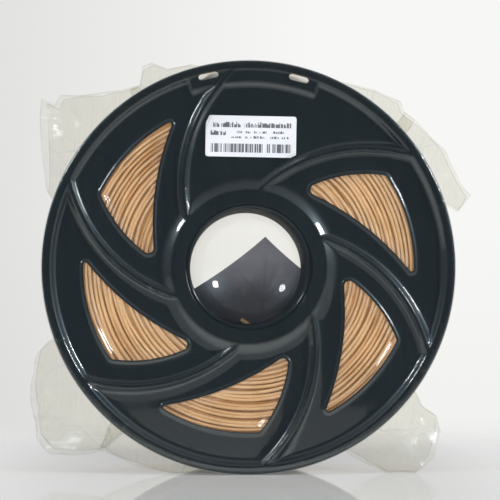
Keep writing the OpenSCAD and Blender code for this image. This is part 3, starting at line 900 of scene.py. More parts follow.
# %% The two flanks and the core behind them
CORE_DEPTH = 3.6        # how far the core lies behind the flank's plane
SECOND_DEPTH = 1.6      # and the second spiral
TURN_POINTS = 132
CLIMB = 325             # where a turn starts to climb, in degrees past its start
UNEVEN = (2, 3, 5, 8, 13)       # waves of the waver in one turn
WAVE, SWAY = 0.8, 1.2   # how strongly it acts outwards from the flank, and along it
DIP, DIP_TURN, DIP_W = 0.5, 17, 18      # how deep a climbing turn sinks in, where, how widely


def flank_spiral(seed, below=0.0):
    """The strand's path over one flank, drawn outer side up, some way below its top."""
    dice = random.Random(seed)
    radii, r = [], DRUM_R + FILAMENT_D / 2 + 0.1 + below / 2
    while r < WIND_R - FILAMENT_D * 1.1:
        radii.append(r)
        r += FILAMENT_D + dice.choice((0.02, 0.08, 0.2, 0.35, 0.6))
    path = []
    start = dice.uniform(0, 360)
    turns = np.linspace(0, 360, TURN_POINTS, endpoint=False)
    for r, following in zip(radii, radii[1:] + radii[-1:]):
        depth = dice.choice((0.0, 0.0, 0.3, 0.6, 1.0))
        waver = [(dice.uniform(0.05, 0.7 / n), n, dice.uniform(0, 6.28)) for n in UNEVEN]
        rise = ease((turns - CLIMB) / (360 - CLIMB), soft=0.3) * (following - r)
        wave, sway = (sum(a * np.sin(np.radians(turns) * n + shift * p) for a, n, p in waver)
                      for shift in (1, 2))
        top = np.minimum(WIND_HALF - FILAMENT_D / 2 + 0.3 - depth + WAVE * wave,
                         INNER_Z - FILAMENT_D / 2)
        dip = DIP * ease(1 - np.abs(turns - CLIMB - DIP_TURN) / DIP_W, soft=0.4)
        path.append(np.column_stack([polar(r + rise + SWAY * sway, turns + start),
                                     top - dip - below]))
    return np.concatenate(path)


flanks = [tube(flank_spiral(seed, below), FILAMENT_D / 2)
          for seed, below in ((3, 0), (11, 0), (17, SECOND_DEPTH), (23, SECOND_DEPTH))]
core_half = WIND_HALF - CORE_DEPTH
core = lathe([(DRUM_R + 0.1, core_half), (WIND_R - FILAMENT_D, core_half),
              (WIND_R - FILAMENT_D, -core_half), (DRUM_R + 0.1, -core_half)])
lays = (facing_front, facing_rear, facing_front, facing_rear, facing_front)
winding = merge([(lay(points), faces) for lay, (points, faces) in zip(lays, flanks + [core])])
make_piece("wound_filament", *winding, wound, "filament", ["filament_winding"], crisp=70,
           solid=True)

# %% [markdown]
# ## The outer layer
#
# Under the film round the spool the last layer shows: one helix from flange to flange,
# each turn against the one before. It is a single tube, with a faint waver of its own.

# %% Wind the outer layer
def outer_layer():
    """The path of the last layer, and how many turns it has."""
    count = int(2 * WIND_HALF / (FILAMENT_D + 0.08))
    pitch = (2 * WIND_HALF - FILAMENT_D) / count
    turns = np.linspace(0, 360 * count, 120 * count + 1)
    dice = random.Random(5)
    waver = sum(0.05 * np.sin(np.radians(turns) * dice.uniform(1.3, 7.0) + dice.uniform(0, 6))
                for _ in range(5))
    radius = WIND_R - FILAMENT_D / 2 + waver
    height = -WIND_HALF + FILAMENT_D / 2 + turns / 360 * pitch
    return np.column_stack([polar(radius, turns + 200), height]), count


layer_path, layer_count = outer_layer()
layer_points, layer_faces = tube(layer_path, FILAMENT_D / 2, sides=7)
make_piece("outer_layer", facing_front(layer_points), layer_faces, filament, "filament",
           ["outer_turns"], crisp=70, solid=True)
print(f"{layer_count} turns in the outer layer")

# %% [markdown]
# ## The first end
#
# The strand's first end comes out through a hole in the rear hub ring and lies bent
# over the mouth. It is the same tube with a clean cut at its tip, led through a few
# points by a smooth curve.

# %% Bend the first end over the rear mouth
def smooth_path(points, steps=14):
    """A curve through the given points."""
    p = np.asarray(points, float)
    p = np.concatenate([[2 * p[0] - p[1]], p, [2 * p[-1] - p[-2]]])
    t = np.linspace(0, 1, steps, endpoint=False)[:, None]
    parts = [0.5 * (2 * b + (c - a) * t + (2 * a - 5 * b + 4 * c - d) * t ** 2
                    + (3 * b - a - 3 * c + d) * t ** 3)
             for a, b, c, d in zip(p, p[1:], p[2:], p[3:])]
    return np.concatenate(parts + [p[-2:-1]])


def first_end():
    """The path of the first end, from inside the drum to its tip over the mouth."""
    hole_r, hole_turn, lean, length = (HUB_HOLE_R + HUB_CREST_R) / 2, -104, 43, 12.4
    out, side = polar(1, hole_turn), polar(1, hole_turn + 90)
    lift = FILAMENT_D / 2 + 0.15

    def at(along, z):
        """A point so far from the hole along the lean, at a height."""
        flat = out * (hole_r - along * math.cos(math.radians(lean)))
        return [*(flat + side * along * math.sin(math.radians(lean))), z]

    return smooth_path([at(0, INNER_Z - 6), at(0, HALF_W - 1.4), at(0.3, HALF_W + lift * 0.5),
                        at(1.6, HALF_W + lift), at(length / 2, HALF_W + lift + 0.1),
                        at(length, HALF_W + lift - 0.2)])


end_points, end_faces = tube(first_end(), FILAMENT_D / 2, sides=16)
make_piece("first_end", facing_rear(end_points), end_faces, filament, "filament",
           ["filament_start"], solid=True)

# %% [markdown]
# ## The label
#
# The label is coated paper with rounded corners, printed in black. Real labels carry
# words; this one carries plain marks: rows of short strokes that end at two heights,
# and a row of bars. The marks come from a noise that is cut into columns, so that they
# need no picture, and each row is a band of height on the label.

# %% The printed paper
LABEL_W, LABEL_H = 44.0, 20.0
BARS = 90.0             # a gap this wide between words means one row of bars
INK = (0.05, 0.055, 0.07, 1)
# Lower and upper edge, left and right end, stroke, gap between words, seed, ink
PRINT_ROWS = [
    (4.3, 6.9, -19.8, 19.6, 0.36, 1.7, 11.0, 0.66), (0.4, 2.7, -19.6, -12.2, 0.45, 1.6, 37.0, 0.66),
    (1.5, 2.8, -7.5, 7.5, 0.24, 1.4, 73.0, 0.5), (1.5, 2.8, 10.5, 16.0, 0.3, 9.0, 19.0, 0.6),
    (-1.0, 0.3, -9.5, 6.5, 0.24, 1.5, 91.0, 0.5), (-1.0, 0.3, 9.5, 18.5, 0.3, 9.0, 29.0, 0.6),
    (-7.8, -3.6, -19.4, 19.4, 0.3, BARS, 53.0, 0.55)]


def printed_paper():
    """White paper with rows of marks, each worked out from the place on the label."""
    material, graph = new_finish("printed_paper")
    maths, place = graph.maths, graph.place()
    apart = graph.apart(place)

    def between(value, lower, upper):
        """1 between two millimetre marks and 0 elsewhere."""
        return maths("MULTIPLY", maths("GREATER_THAN", value, lower * MM),
                     maths("LESS_THAN", value, upper * MM))

    def dice(width, seed):
        """A random number for each column of the given width."""
        column = maths("FLOOR", maths("DIVIDE", apart["X"], width * MM))
        return graph.add("TexWhiteNoise", {"noise_dimensions": "1D"},
                         W=maths("ADD", column, seed)).outputs["Value"]

    ink = 0.0
    for lower, upper, left, right, stroke, word, seed, share in PRINT_ROWS:
        row = maths("MULTIPLY", between(apart["Y"], lower, upper), between(apart["X"], left, right))
        row = maths("MULTIPLY", row, maths("LESS_THAN", dice(stroke, seed), share))
        if word != BARS:
            row = maths("MULTIPLY", row, maths("LESS_THAN", dice(word, seed + 7), 0.88))
            notch = maths("MULTIPLY", dice(stroke * 2, seed + 3), (upper - lower) * 0.55 * MM)
            top = maths("ADD", apart["Y"], notch)
            row = maths("MULTIPLY", row, maths("LESS_THAN", top, upper * MM))
        ink = maths("MAXIMUM", ink, row)
    paper = graph.ramp(graph.noise(place, 1500.0, 3.0), (0.3, (0.76, 0.78, 0.84)),
                       (0.7, (0.80, 0.82, 0.87)))
    graph.cover(graph.solid(Base_Color=graph.tint(maths("MULTIPLY", ink, 0.9), paper, INK),
                            Roughness=0.35))
    return material


# %% Lay the label on the closed sector
CORNER_R, PAPER_T, PAPER_ROUND = 1.3, 0.2, 0.05
TOP_INSET = 0.06        # how far the printed side is drawn in at the ends
LABEL_TURN = -1


def label_sheet():
    """A thin slab with rounded corners, stuck on a little askew."""
    low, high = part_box("label")
    middle = (low + high) / 2
    half_w, half_h = LABEL_W / 2 - CORNER_R, LABEL_H / 2 - CORNER_R
    outline = np.concatenate([
        arc((sx * half_w, sy * half_h), CORNER_R, start, start + 90, 8)
        for sx, sy, start in ((1, 1, 0), (-1, 1, 90), (-1, -1, 180), (1, -1, 270))])
    n = len(outline)
    shrunk = outline * (1 - TOP_INSET / LABEL_W * 2)
    points = np.concatenate([np.column_stack([ring, np.full(n, z)]) for ring, z in (
        (outline, 0), (outline, PAPER_T - PAPER_ROUND), (shrunk, PAPER_T))])
    faces = [tuple(range(n))[::-1], tuple(range(2 * n, 3 * n))] + rows_of_faces(3, n)
    piece = make_piece("paper_label", points, faces, printed_paper(), "label_paper", ["label"])
    piece.rotation_euler = (math.radians(90), 0, 0)
    piece.rotation_euler.rotate_axis("Z", math.radians(LABEL_TURN))
    piece.location = (middle.x, high.y, middle.z)


label_sheet()

# %% [markdown]
# ## The pouch of drying agent
#
# The pouch is nonwoven cloth filled with beads. It lies between the rear mouth and the
# bag, one corner up, and the vacuum has pulled it a little into the mouth. It is a
# pillow: two skins that meet in a crimped seam. The skins rise from the seam in an
# easy curve, and a few pinched folds run inwards from it.

# %% The cloth's finish
# The paler colour of painted light, laid on the pouch towards its top
PAINTED_LIGHT_TINT = (0.27, 0.275, 0.335, 1)


def pouch_cloth():
    """Cloth with painted light: paler towards its upper corner, darker lower down."""
    material, graph = new_finish("pouch_cloth")
    place = graph.place()
    # The cloth's darker colour with random tone, shown lower down where no painted light is laid on
    slack = graph.ramp(graph.noise(place, 900.0, 5.0, Roughness=0.75), (0.3, (0.030, 0.030, 0.040)),
                       (0.55, (0.047, 0.047, 0.062)), (0.75, (0.08, 0.08, 0.10)))
    # Painted light: the colour turns paler towards the top of the pouch
    painted_light_share = graph.spread(graph.apart(place)["Z"], (-0.018, 0.006), (0.0, 1.0), soft=True)
    graph.cover(graph.solid(
        Base_Color=graph.tint(painted_light_share, slack, PAINTED_LIGHT_TINT), Roughness=0.55,
        Normal=graph.bump(graph.cells(place, 650.0), 0.4, 0.0003), Sheen_Weight=0.3,
        Coat_Weight=0.25, Coat_Roughness=0.3))
    return material


# %% The pouch's outline: a diamond whose four sides bow inwards a little
BOW, SIDE_POINTS, POUCH_TURN = 1.7, 36, -1.6


def pouch_outline(half_w, half_h):
    """The outline, and the turn of each of its points."""
    tips = np.array([(half_w, 0), (0, half_h), (-half_w, 0), (0, -half_h)])
    t = np.linspace(0, 1, SIDE_POINTS, endpoint=False)[:, None]
    sides = [a + t * (b - a) - (a + b) / np.hypot(*(a + b)) * BOW * 4 * t * (1 - t)
             for a, b in zip(tips, np.roll(tips, -1, axis=0))]
    outline = turned(np.concatenate(sides), POUCH_TURN)
    turns = np.arctan2(outline[:, 1], outline[:, 0])
    outline *= min(half_w / np.abs(outline[:, 0]).max(), half_h / np.abs(outline[:, 1]).max())
    return outline, turns


# %% Puff up the pouch
BULGE, BULGE_R = 4.0, 24        # how far it swells into the mouth, and how widely
SEAM, SEAM_T = 0.88, 0.12       # where the seam starts, and half its thickness
PINCH, CRIMP, BEADS = 0.28, 0.10, 0.25


def pouch():
    """Both skins, from the middle out to the crimped seam. The inner one bulges more."""
    low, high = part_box("desiccant_sachet")
    middle, thick = (low + high) / 2 / MM, (high.y - low.y) / MM
    outline, turns = pouch_outline((high.x - low.x) / 2 / MM, (high.z - low.z) / 2 / MM)
    shares = np.concatenate([[0.02], np.linspace(0.12, 0.86, 15), [0.9, 0.93, 0.96, 0.98, 1.0]])
    dice = random.Random(21)
    folds = [(dice.uniform(0, 2 * math.pi), dice.uniform(0.05, 0.12), dice.uniform(0.5, 1.0))
             for _ in range(26)]
    pinch = sum(a * np.exp(-((turns - t + math.pi) % (2 * math.pi) - math.pi) ** 2 / (2 * w * w))
                for t, w, a in folds)
    half = (thick - 0.6) / 2
    points = []
    for side in (1, -1):
        for share in shares:
            flat = outline * share
            puff = max(0.0, 1 - (share / SEAM) ** 2.6) ** 0.6
            height = np.full(len(flat), half * puff + SEAM_T)
            height *= 1 - PINCH * pinch * share * (share < 0.9)
            height += CRIMP * np.sin(turns * 60) * (share > 0.9)
            height += BEADS * np.sin(flat[:, 0] * 0.5 + side) * np.sin(flat[:, 1] * 0.45) * puff
            if side > 0:
                from_axis = np.hypot(flat[:, 0] + middle.x, flat[:, 1] + middle.z)
                height += BULGE * (1 - (from_axis / BULGE_R).clip(0, 1) ** 2) ** 2
            points.append(np.column_stack([flat, side * height]))
    n, m = len(turns), len(shares)
    points = np.concatenate(points + [[[0, 0, half], [0, 0, -half]]])
    skin = rows_of_faces(m, n)
    faces = skin + [tuple(i + m * n for i in face) for face in skin]
    edge, rear_edge, tips = (m - 1) * n, (2 * m - 1) * n, 2 * m * n
    faces += [(edge + i, edge + (i + 1) % n, rear_edge + (i + 1) % n, rear_edge + i)
              for i in range(n)]
    faces += [(tips + s, s * m * n + i, s * m * n + (i + 1) % n) for s in (0, 1) for i in range(n)]
    x, up, out = points.T
    return np.column_stack([middle.x + x, low.y / MM + thick / 2 - out, middle.z + up]), faces


pouch_piece = make_piece("drying_pouch", *pouch(), pouch_cloth(), "sachet_cloth",
                         ["desiccant_sachet"], crisp=60, solid=True)

# %% [markdown]
# ## Clear film
#
# The film is thin, clear and slightly warm in tone. Light passes straight through it,
# and a small share is mirrored, more at a slant than face on. That is a Transparent
# shader mixed with a mirror, which is sharp under a soft sheen. The share grows steeply
# with the slant, as it does for the two faces of a pane, and it is the same from either
# side, so that light also gets out again. Light has a longer way through a fold, so it
# comes out darker there. The film was drawn one way when it was made, which leaves
# faint upright streaks of haze. Drawn tight it is smooth; the loose corners have been
# handled, and are creased into flat facets with fine pale lines between them.

# %% Two finishes of film
TIGHT_SHARE, LOOSE_SHARE = 0.08, 0.045      # light mirrored face on, by both sides
FACET_SCALE = 30.0      # facets across a metre, where loose film is creased
SHEEN_SHARE, SHEEN_BLUR = 0.42, 0.42    # of the mirror; the rest of it is sharp
MIRROR, SHEEN_BLUE, HAZE = (0.96, 0.96, 0.95, 1), (0.66, 0.86, 1.0, 1), (0.55, 0.66, 0.72, 1)


def clear_film(name, tint, fold_tint, haze, blur, face_on, crinkle=0.0):
    """Film: its tint seen face on and through a fold, haze, blur, and share mirrored."""
    material, graph = new_finish(name)
    place = graph.place()
    bump = graph.bump(graph.noise(place, 180.0, 3.0), 0.03 + 0.15 * crinkle, 0.0006)
    drawn = graph.add("Mapping", Vector=place, Scale=(900.0, 900.0, 12.0)).outputs[0]
    veiled = graph.spread(graph.noise(drawn, 1.0, 1.0), (0.35, 0.75), (haze * 0.4, haze * 1.8))
    if crinkle:
        wander = graph.noise(place, 25.0, 2.0, result="Color")
        bent = graph.maths("MULTIPLY_ADD", wander, (0.02, 0.02, 0.02), place, kind="VectorMath")
        bump = graph.bump(graph.cells(bent, FACET_SCALE), crinkle, 0.0035, Normal=bump)
        edges = graph.cells(bent, FACET_SCALE, feature="DISTANCE_TO_EDGE")
        lines = graph.spread(edges, (0.0, 0.025), (crinkle * 0.3, 0.0))
        veiled = graph.maths("ADD", veiled, lines)
    slant = graph.add("LayerWeight", Blend=0.5, Normal=bump).outputs["Facing"]
    share = graph.maths("MULTIPLY_ADD", graph.maths("POWER", slant, 3.5), 0.9, face_on,
                        use_clamp=True)
    tinge = graph.tint(graph.maths("POWER", slant, 2.0), (*tint, 1), (*fold_tint, 1))
    body = graph.blend(veiled, graph.plain("BsdfTransparent", tinge),
                       graph.plain("BsdfDiffuse", HAZE))
    sharp, sheen = (graph.solid(Base_Color=colour, Metallic=1.0, Roughness=rough, Normal=bump)
                    for colour, rough in ((MIRROR, blur), (SHEEN_BLUE, SHEEN_BLUR)))
    graph.cover(graph.blend(share, body, graph.blend(SHEEN_SHARE + 2 * blur, sharp, sheen)))
    return material


tight_film = clear_film("tight_film", (0.997, 0.992, 0.975), (0.80, 0.79, 0.74), 0.007, 0.04,
                        TIGHT_SHARE)
loose_film = clear_film("loose_film", (0.965, 0.953, 0.915), (0.55, 0.51, 0.42), 0.03, 0.16,
                        LOOSE_SHARE, crinkle=0.3)

# %% [markdown]
# ## Film drawn over a face
#
# With the air gone, the film lies on the moulding and bridges the foot of every slope.
# It dips into the windows until it meets the filament, and it hangs in the hub's mouth
# as a shallow dish, which is why that mouth shows two bright spots of light. The
# height of the film is the flange's own height with slack, lowered in the windows and
# the mouth, and raised along a few creases.

# %% Creases, each from one point to another
LIFT = 0.15
FILM_SLACK = 0.06       # how much wider the film's slopes are than the moulding's
SINK, SINK_W = LIP_H + WALL - 0.4, 4.2  # into a window, and how far in from its edge
DISH_R = 34.5           # radius of the dish in the hub's mouth
DISH_EDGE_R = BORE_R + 1.2
MOUTH_BEND = 0.9        # how softly the dish bends into the film round it
# From one point to another, and how strong
FRONT_CREASES = [
    ((27.1, 94.0), (26.6, 40.0), 0.10), ((-97.0, -36.4), (-88.0, -34.0), 0.45),
    ((-95.5, 36.0), (-88.5, 40.5), 0.4), ((-96.0, 41.5), (-91.0, 36.0), 0.4),
    ((-64.5, -80.5), (-59.0, -74.8), 0.45), ((-62.5, -76.0), (-66.0, -73.5), 0.3),
    ((78.0, -47.5), (86.5, -50.0), 0.35), ((86.5, -50.0), (95.0, -46.5), 0.45),
    ((79.5, -53.5), (86.0, -60.0), 0.45), ((84.0, -53.0), (80.5, -60.5), 0.35),
    ((91.0, 28.8), (98.0, 31.5), 0.4), ((-50.0, 20.0), (-52.0, 60.0), 0.06),
    ((3.8, -27.2), (15.9, -20.9), 0.8), ((-18.2, -21.2), (-15.0, -23.5), 0.7)]
CREASE_W = 0.38


def line_gap(points, start, end):
    """Distance from a straight line, and the share of the way along it."""
    a, b = np.array(start), np.array(end)
    along = np.clip((points - a) @ (b - a) / ((b - a) @ (b - a)), 0, 1)
    return np.hypot(*(points - a - along[:, None] * (b - a)).T), along


def random_creases(seed, count):
    """Short creases over the rim, where the film is pulled round it."""
    dice = random.Random(seed)
    found = []
    for _ in range(count):
        turn, length = dice.uniform(0, 360), dice.uniform(2.5, 6.5)
        start = polar(FLANGE_R - dice.uniform(0.2, 2.0), turn)
        end = polar(np.hypot(*start) - length, turn + dice.uniform(-3.5, 3.5))
        found.append((tuple(start), tuple(end), dice.uniform(0.08, 0.28)))
    return found


# %% The film's height
CREASE_RISE = 1.4       # millimetres, for a crease of strength 1
EDGE_FALL = 1.3         # from the face down to the band


def film_height(points, creases):
    """Height of the film over the spool's middle."""
    radius = np.hypot(*points.T)
    gap = window_gap(points)
    over = relief(points, gap, slack=FILM_SLACK)
    sunk = SINK * ease(-gap / SINK_W, soft=0.45)
    height = PANEL_Z + over + LIFT - np.where(gap < 0, sunk, 0)
    # The dish in the mouth, bent smoothly into the flat film round it
    edge = DISH_EDGE_R
    level = math.sqrt(DISH_R ** 2 - edge ** 2)
    below = np.where(radius < edge, np.sqrt(DISH_R ** 2 - np.minimum(radius, edge) ** 2) - level,
                     (edge - radius) * edge / level)
    height -= (below + np.hypot(below, MOUTH_BEND)) / 2
    for start, end, rise in creases:
        off, along = line_gap(points, start, end)
        height += (CREASE_RISE * rise * np.exp(-(off / CREASE_W) ** 2)
                   * np.sin(math.pi * (0.08 + 0.84 * along)))
    return height


# %% The film's net over one face
FILM_R = FLANGE_R + 0.4
FILM_RIB_LINES = (-5.4, -4.5, -3.8, -3.3, -2.8, -2.3, -1.8, -1.3, -0.8, -0.3, 0.3, 0.8, 1.3, 1.8,
                  2.3, 2.8, 3.3, 3.8, 4.3, 5.2, 6.1, 7.2)


def crease_points(start, end):
    """Lines along and beside a crease."""
    a, b = np.array(start), np.array(end)
    steps = max(4, int(np.hypot(*(b - a)) / 0.8))
    line = a + np.linspace(-0.05, 1.05, steps)[:, None] * (b - a)
    side = np.array([a[1] - b[1], b[0] - a[0]]) / np.hypot(*(b - a))
    return [line + side * off for off in (0, -0.3, 0.3, -0.6, 0.6, -1.0, 1.0)]


def film_face(creases):
    """The film over one face, drawn outer side up."""
    edge = polar(FILM_R, np.linspace(0, 360, 360, endpoint=False))
    radii = [*np.arange(2, BORE_R, 1.6)]
    radii += [BORE_R + d for d in (-0.6, 0, 0.4, 0.8, 1.2, 1.6, 2.1, 2.8, 4, 6)]
    radii += slope_radii(HUB_CREST_R, HUB_SLOPE, [-0.3, -0.1], 9)
    radii += slope_radii(RIM_CREST_R, -RIM_SLOPE, [-0.4, -0.15], 8)
    radii += [RIM_CREST_R + 2.2, FLANGE_R - 0.6, FLANGE_R]
    groups = [line for start, end, _ in creases for line in crease_points(start, end)]
    groups += ring_points(radii, 300)
    groups += window_points((-5.5, -4.6, -3.8, -3.0, -2.2, -1.4, -0.7, 0, 0.7, 1.4, 2.1, 3.0))
    groups += rib_points(FILM_RIB_LINES, step=1.6) + pad_points() + loose_grid(3.2)
    others = thin_out(groups, [edge], 0.42)
    others = others[np.hypot(*others.T) < FLANGE_R + 0.1]
    flat, faces, _ = join_points([edge], others, lambda p: np.hypot(*p.T) < FILM_R)
    # Round the outer edge down to the band
    rounded = EDGE_FALL * np.clip((np.hypot(*flat.T) - FLANGE_R + 0.9) / 1.3, 0, 1) ** 2
    return np.column_stack([flat, film_height(flat, creases) - rounded]), faces


# %% Lay film over both faces
def area_of(piece):
    """Area of a piece of film, in square metres."""
    return sum(p.area for p in piece.data.polygons)


for side, laid, creases, stands_for in (
        ("front", facing_front, FRONT_CREASES + random_creases(4, 16), ["vacuum_bag"]),
        ("rear", facing_rear, random_creases(9, 34), [])):
    points, faces = film_face(creases)
    piece = make_piece(f"bag_{side}", laid(points), faces, tight_film, "bag_film", stands_for,
                       crisp=180)

# %% [markdown]
# ## The band of film round the spool
#
# Between the flanges the film spans from rim to rim and is drawn in towards the
# filament, with folds across it where the bag has more film than the spool needs.

# %% The band
BAND_SAG = 4.6          # how far the film is drawn in between the rims
BAND_FOLD = 0.9


def film_band():
    """The film from rim to rim, drawn about the axis."""
    turns = np.linspace(0, 360, 540, endpoint=False)
    across = np.linspace(-1, 1, 33)
    dice = random.Random(12)
    folds = [(dice.randint(14, 70), dice.uniform(0, 6.28), dice.uniform(0.15, 0.5))
             for _ in range(7)]
    rows = []
    for t in across:
        open_share = ease((1 - abs(t)) * 2.2 - 0.18, soft=0.45)
        wave = sum(a * np.sin(np.radians(turns) * n + p + 1.5 * t) for n, p, a in folds)
        sink = np.maximum(open_share * (BAND_SAG + BAND_FOLD * wave), 0)
        edge = 0.5 * max(0.0, (abs(t) - 0.965) / 0.035)
        rows.append(np.column_stack([polar(FILM_R - edge - sink, turns),
                                     np.full(len(turns), t * (HALF_W + 0.25))]))
    return np.concatenate(rows), rows_of_faces(len(across), len(turns))


band_points, band_faces = film_band()
band = make_piece("bag_band", facing_front(band_points), band_faces, tight_film, "bag_film",
                  crisp=180)

# %% [markdown]
# ## Loose corners of the bag
#
# A bag is square and the spool is round, so four corners of film are left over. Each
# is two films that start at the rim and part a little further out. A film is drawn
# flat, as an outline of a few points, and then pushed to and fro: by broad folds that
# fan out from the rim, by a few straight creases, and by a narrow hem at its free edge.
# The two lower corners lie on the floor.

# %% The outlines, as (out from the rim, turn), or a place along the floor
FLAP_OUTLINES = {
    "top_left": [(0, 99), (3.8, 105.8), (5.3, 112.2), (10.7, 115.5), (11.5, 118), (4.4, 120.8),
                 (5.6, 123.5), (0, 125)],
    "upper_left": [(0, 120.5), (4.4, 121.5), (7, 125.8), (11.8, 130.3), (25, 137.4), (24, 140),
                   (31, 140.8), (5.2, 159.5), (0, 162)],
    "upper_right": [(0, 69), (7.4, 54.4), (10.5, 47.4), (8.3, 45.4), (9.6, 41.5), (0, 40)],
    "right": [(0, 44.5), (8.3, 44.8), (10.3, 39.3), (12.5, 30.9), (12.5, 24.4), (14.8, 17.9),
              (7, 14.9), (0, 18.5)],
    "lower_left": [(0, 199.5), (10.9, 201.9), (16.4, 205.8), (25.9, 213.2), (33, 218.7),
                   (33.4, 223), (14.4, 231.4), (0, 233)],
    "bottom_left": [(0, 228), (15.3, 230.6), (14.4, 231.4), (12.3, 238.5), -37, -16],
    "lower_right": [(0, -36), (8.9, -38.4), (17.9, -38.2), (24.4, -40.4), (30.5, -45.9), 81.5,
                    68, (15, -58.2), (0, -63)]}
FLAP_Y = -20            # the flaps' middle plane
FOLDS, FOLD_RISE = 22, 0.17     # folds round a full turn, and their rise for each mm out
# Straight creases across a flap: how far apart, and how high
CRUMPLES = ((34, 1.6), (21, 1.3), (13, 0.7), (8.5, 0.5), (5.5, 0.32))
LOOSE_FROM, APART_FROM = 10, 14         # how far out the film is free, and the two films apart
HEM, HEM_FROM = 0.7, 4          # the hem's width, and how far out it is fully turned over
CUT_WASTE = 1.08        # a film takes up more length than its outline shows
print(f"{len(FLAP_OUTLINES)} loose pieces of two films each")


# %% A flap's outline, with sides that bow a little
def spot(corner, inner_share):
    """A corner of an outline. The inner film's free edge stands a little further in."""
    if np.ndim(corner) == 0:
        return np.array([corner, FLOOR_Z / MM])
    return polar(FLANGE_R + corner[0] * inner_share - 0.3, corner[1])


def flap_outline(name, inner_share, dice):
    """One film's outline: its free edge, and back along the rim."""
    corners = [spot(c, inner_share * dice.uniform(0.94, 1.0) if inner_share < 1 else 1)
               for c in FLAP_OUTLINES[name]]
    line = []
    for a, b in zip(corners, corners[1:]):
        bow = dice.uniform(-0.05, 0.08) * np.array([b[1] - a[1], a[0] - b[0]])
        t = np.linspace(0, 1, max(2, int(np.hypot(*(b - a)) / 1.3)), endpoint=False)[:, None]
        line.append(a + t * (b - a) + bow * 4 * t * (1 - t))
    start, stop = (math.degrees(math.atan2(c[1], c[0])) for c in (corners[0], corners[-1]))
    stop += 360 * round((start - stop) / 360)
    rim = np.linspace(stop, start, max(3, int(abs(stop - start) / 0.8)), endpoint=False)
    line.append(polar(FLANGE_R - 0.3, rim))
    return np.concatenate(line)


# %% The folds of a film
def edge_gap(points, outline):
    """Distance from each point to an outline."""
    return np.minimum.reduce([line_gap(points, a, b)[0]
                              for a, b in zip(outline, np.roll(outline, -1, axis=0))])


def zigzag(t):
    """A wave of straight flanks with crisp folds: 1 at the start, -1 half a turn on."""
    return 4 * np.abs((t / 360) % 1 - 0.5) - 1


def crumpled(flat, dice):
    """How far each point of a film leaves the flap's middle plane, towards the front."""
    out = np.maximum(np.hypot(*flat.T) - FLANGE_R, 0)
    depth = FOLD_RISE * out * zigzag(turn_about(flat) * FOLDS)
    free = (out / LOOSE_FROM).clip(0, 1)
    for width, height in CRUMPLES:
        along = polar(1, dice.uniform(0, 360))
        patch = polar(1, dice.uniform(0, 360))
        here = 0.5 + 0.5 * zigzag(flat @ patch * 360 / dice.uniform(25, 60) + dice.uniform(0, 360))
        depth += height * free * here * zigzag(flat @ along * 360 / width + dice.uniform(0, 360))
    return depth


# %% Cut and crumple both films of the four corners
def flap_film(name, inner_share, lean, dice):
    """One film of a flap, creased and leaning to the front or the rear."""
    outline = flap_outline(name, inner_share, dice)
    ahead = np.roll(outline, -1, axis=0) - np.roll(outline, 1, axis=0)
    inwards = np.stack([-ahead[:, 1], ahead[:, 0]], axis=1) / np.hypot(*ahead.T)[:, None]
    if not inside_outline(outline[3:4] + inwards[3] * 0.2, outline)[0]:
        inwards = -inwards
    hem = np.concatenate([outline + inwards * d for d in (0.35, HEM)])
    span = [np.arange(outline[:, i].min(), outline[:, i].max(), 1.1) for i in (0, 1)]
    grid = np.stack(np.meshgrid(*span), axis=-1).reshape(-1, 2)
    grid[::2, 0] += 0.5
    others = np.concatenate([hem, grid])
    others = others[inside_outline(others, outline)]
    others = others[edge_gap(others, outline) > 0.25]
    others = thin_out([others], [outline], 0.34)
    flat, faces, _ = join_points([outline], others, lambda p: inside_outline(p, outline))
    out = np.maximum(np.hypot(*flat.T) - FLANGE_R, 0)
    turned_over = (1 - edge_gap(flat, outline) / HEM).clip(0, 1) * (out / HEM_FROM).clip(0, 1)
    front = crumpled(flat, dice) + lean * (out / APART_FROM).clip(0, 1) + 0.8 * lean * turned_over
    height = np.maximum(flat[:, 1], FLOOR_Z / MM + 0.05)
    return np.column_stack([flat[:, 0], FLAP_Y - front, height]), faces, outline


def flat_cut(outline):
    """Width and length of the smallest box, at any turn, that a film is cut from."""
    boxes = [np.ptp(turned(outline, t), axis=0) * MM * CUT_WASTE for t in range(0, 90, 3)]
    return min(boxes, key=lambda box: box[0] * box[1])


for seed, name in enumerate(FLAP_OUTLINES):
    for side, inner_share, lean in (("outer", 1.0, 1.0), ("inner", 0.93, -1.0)):
        points, faces, outline_2d = flap_film(name, inner_share, lean, random.Random(seed * 7 + 31))
        flap = make_piece(f"bag_{name}_{side}", points, faces, loose_film, "bag_film", crisp=24)
        width, length = (float(v) for v in flat_cut(outline_2d))
        print(f"  cut from {width * 1000:.0f} x {length * 1000:.0f} mm, "
              f"{area_of(flap) / width / length:.2f} of it used")

# %% [markdown]
# ## Floor, light and camera
#
# The spool stands on a pale glossy board that is rubbed dull in its middle, where
# things are put down. Two small soft lamps stand far to the left and right, a little in
# front and above, and a large soft one stands behind the camera. Black plastic
# only looks black when it has something dark to mirror, so nothing mirrors the large
# lamp, and the surroundings are darker straight in front, as in a real studio.

# %% The floor
BOARD_SIDE, BOARD_FRONT, BOARD_BACK = 1.2, -0.55, 0.38
FLOOR_LIFT = 0.09
PAPER_WHITE = (1, 1, 0.98, 1)


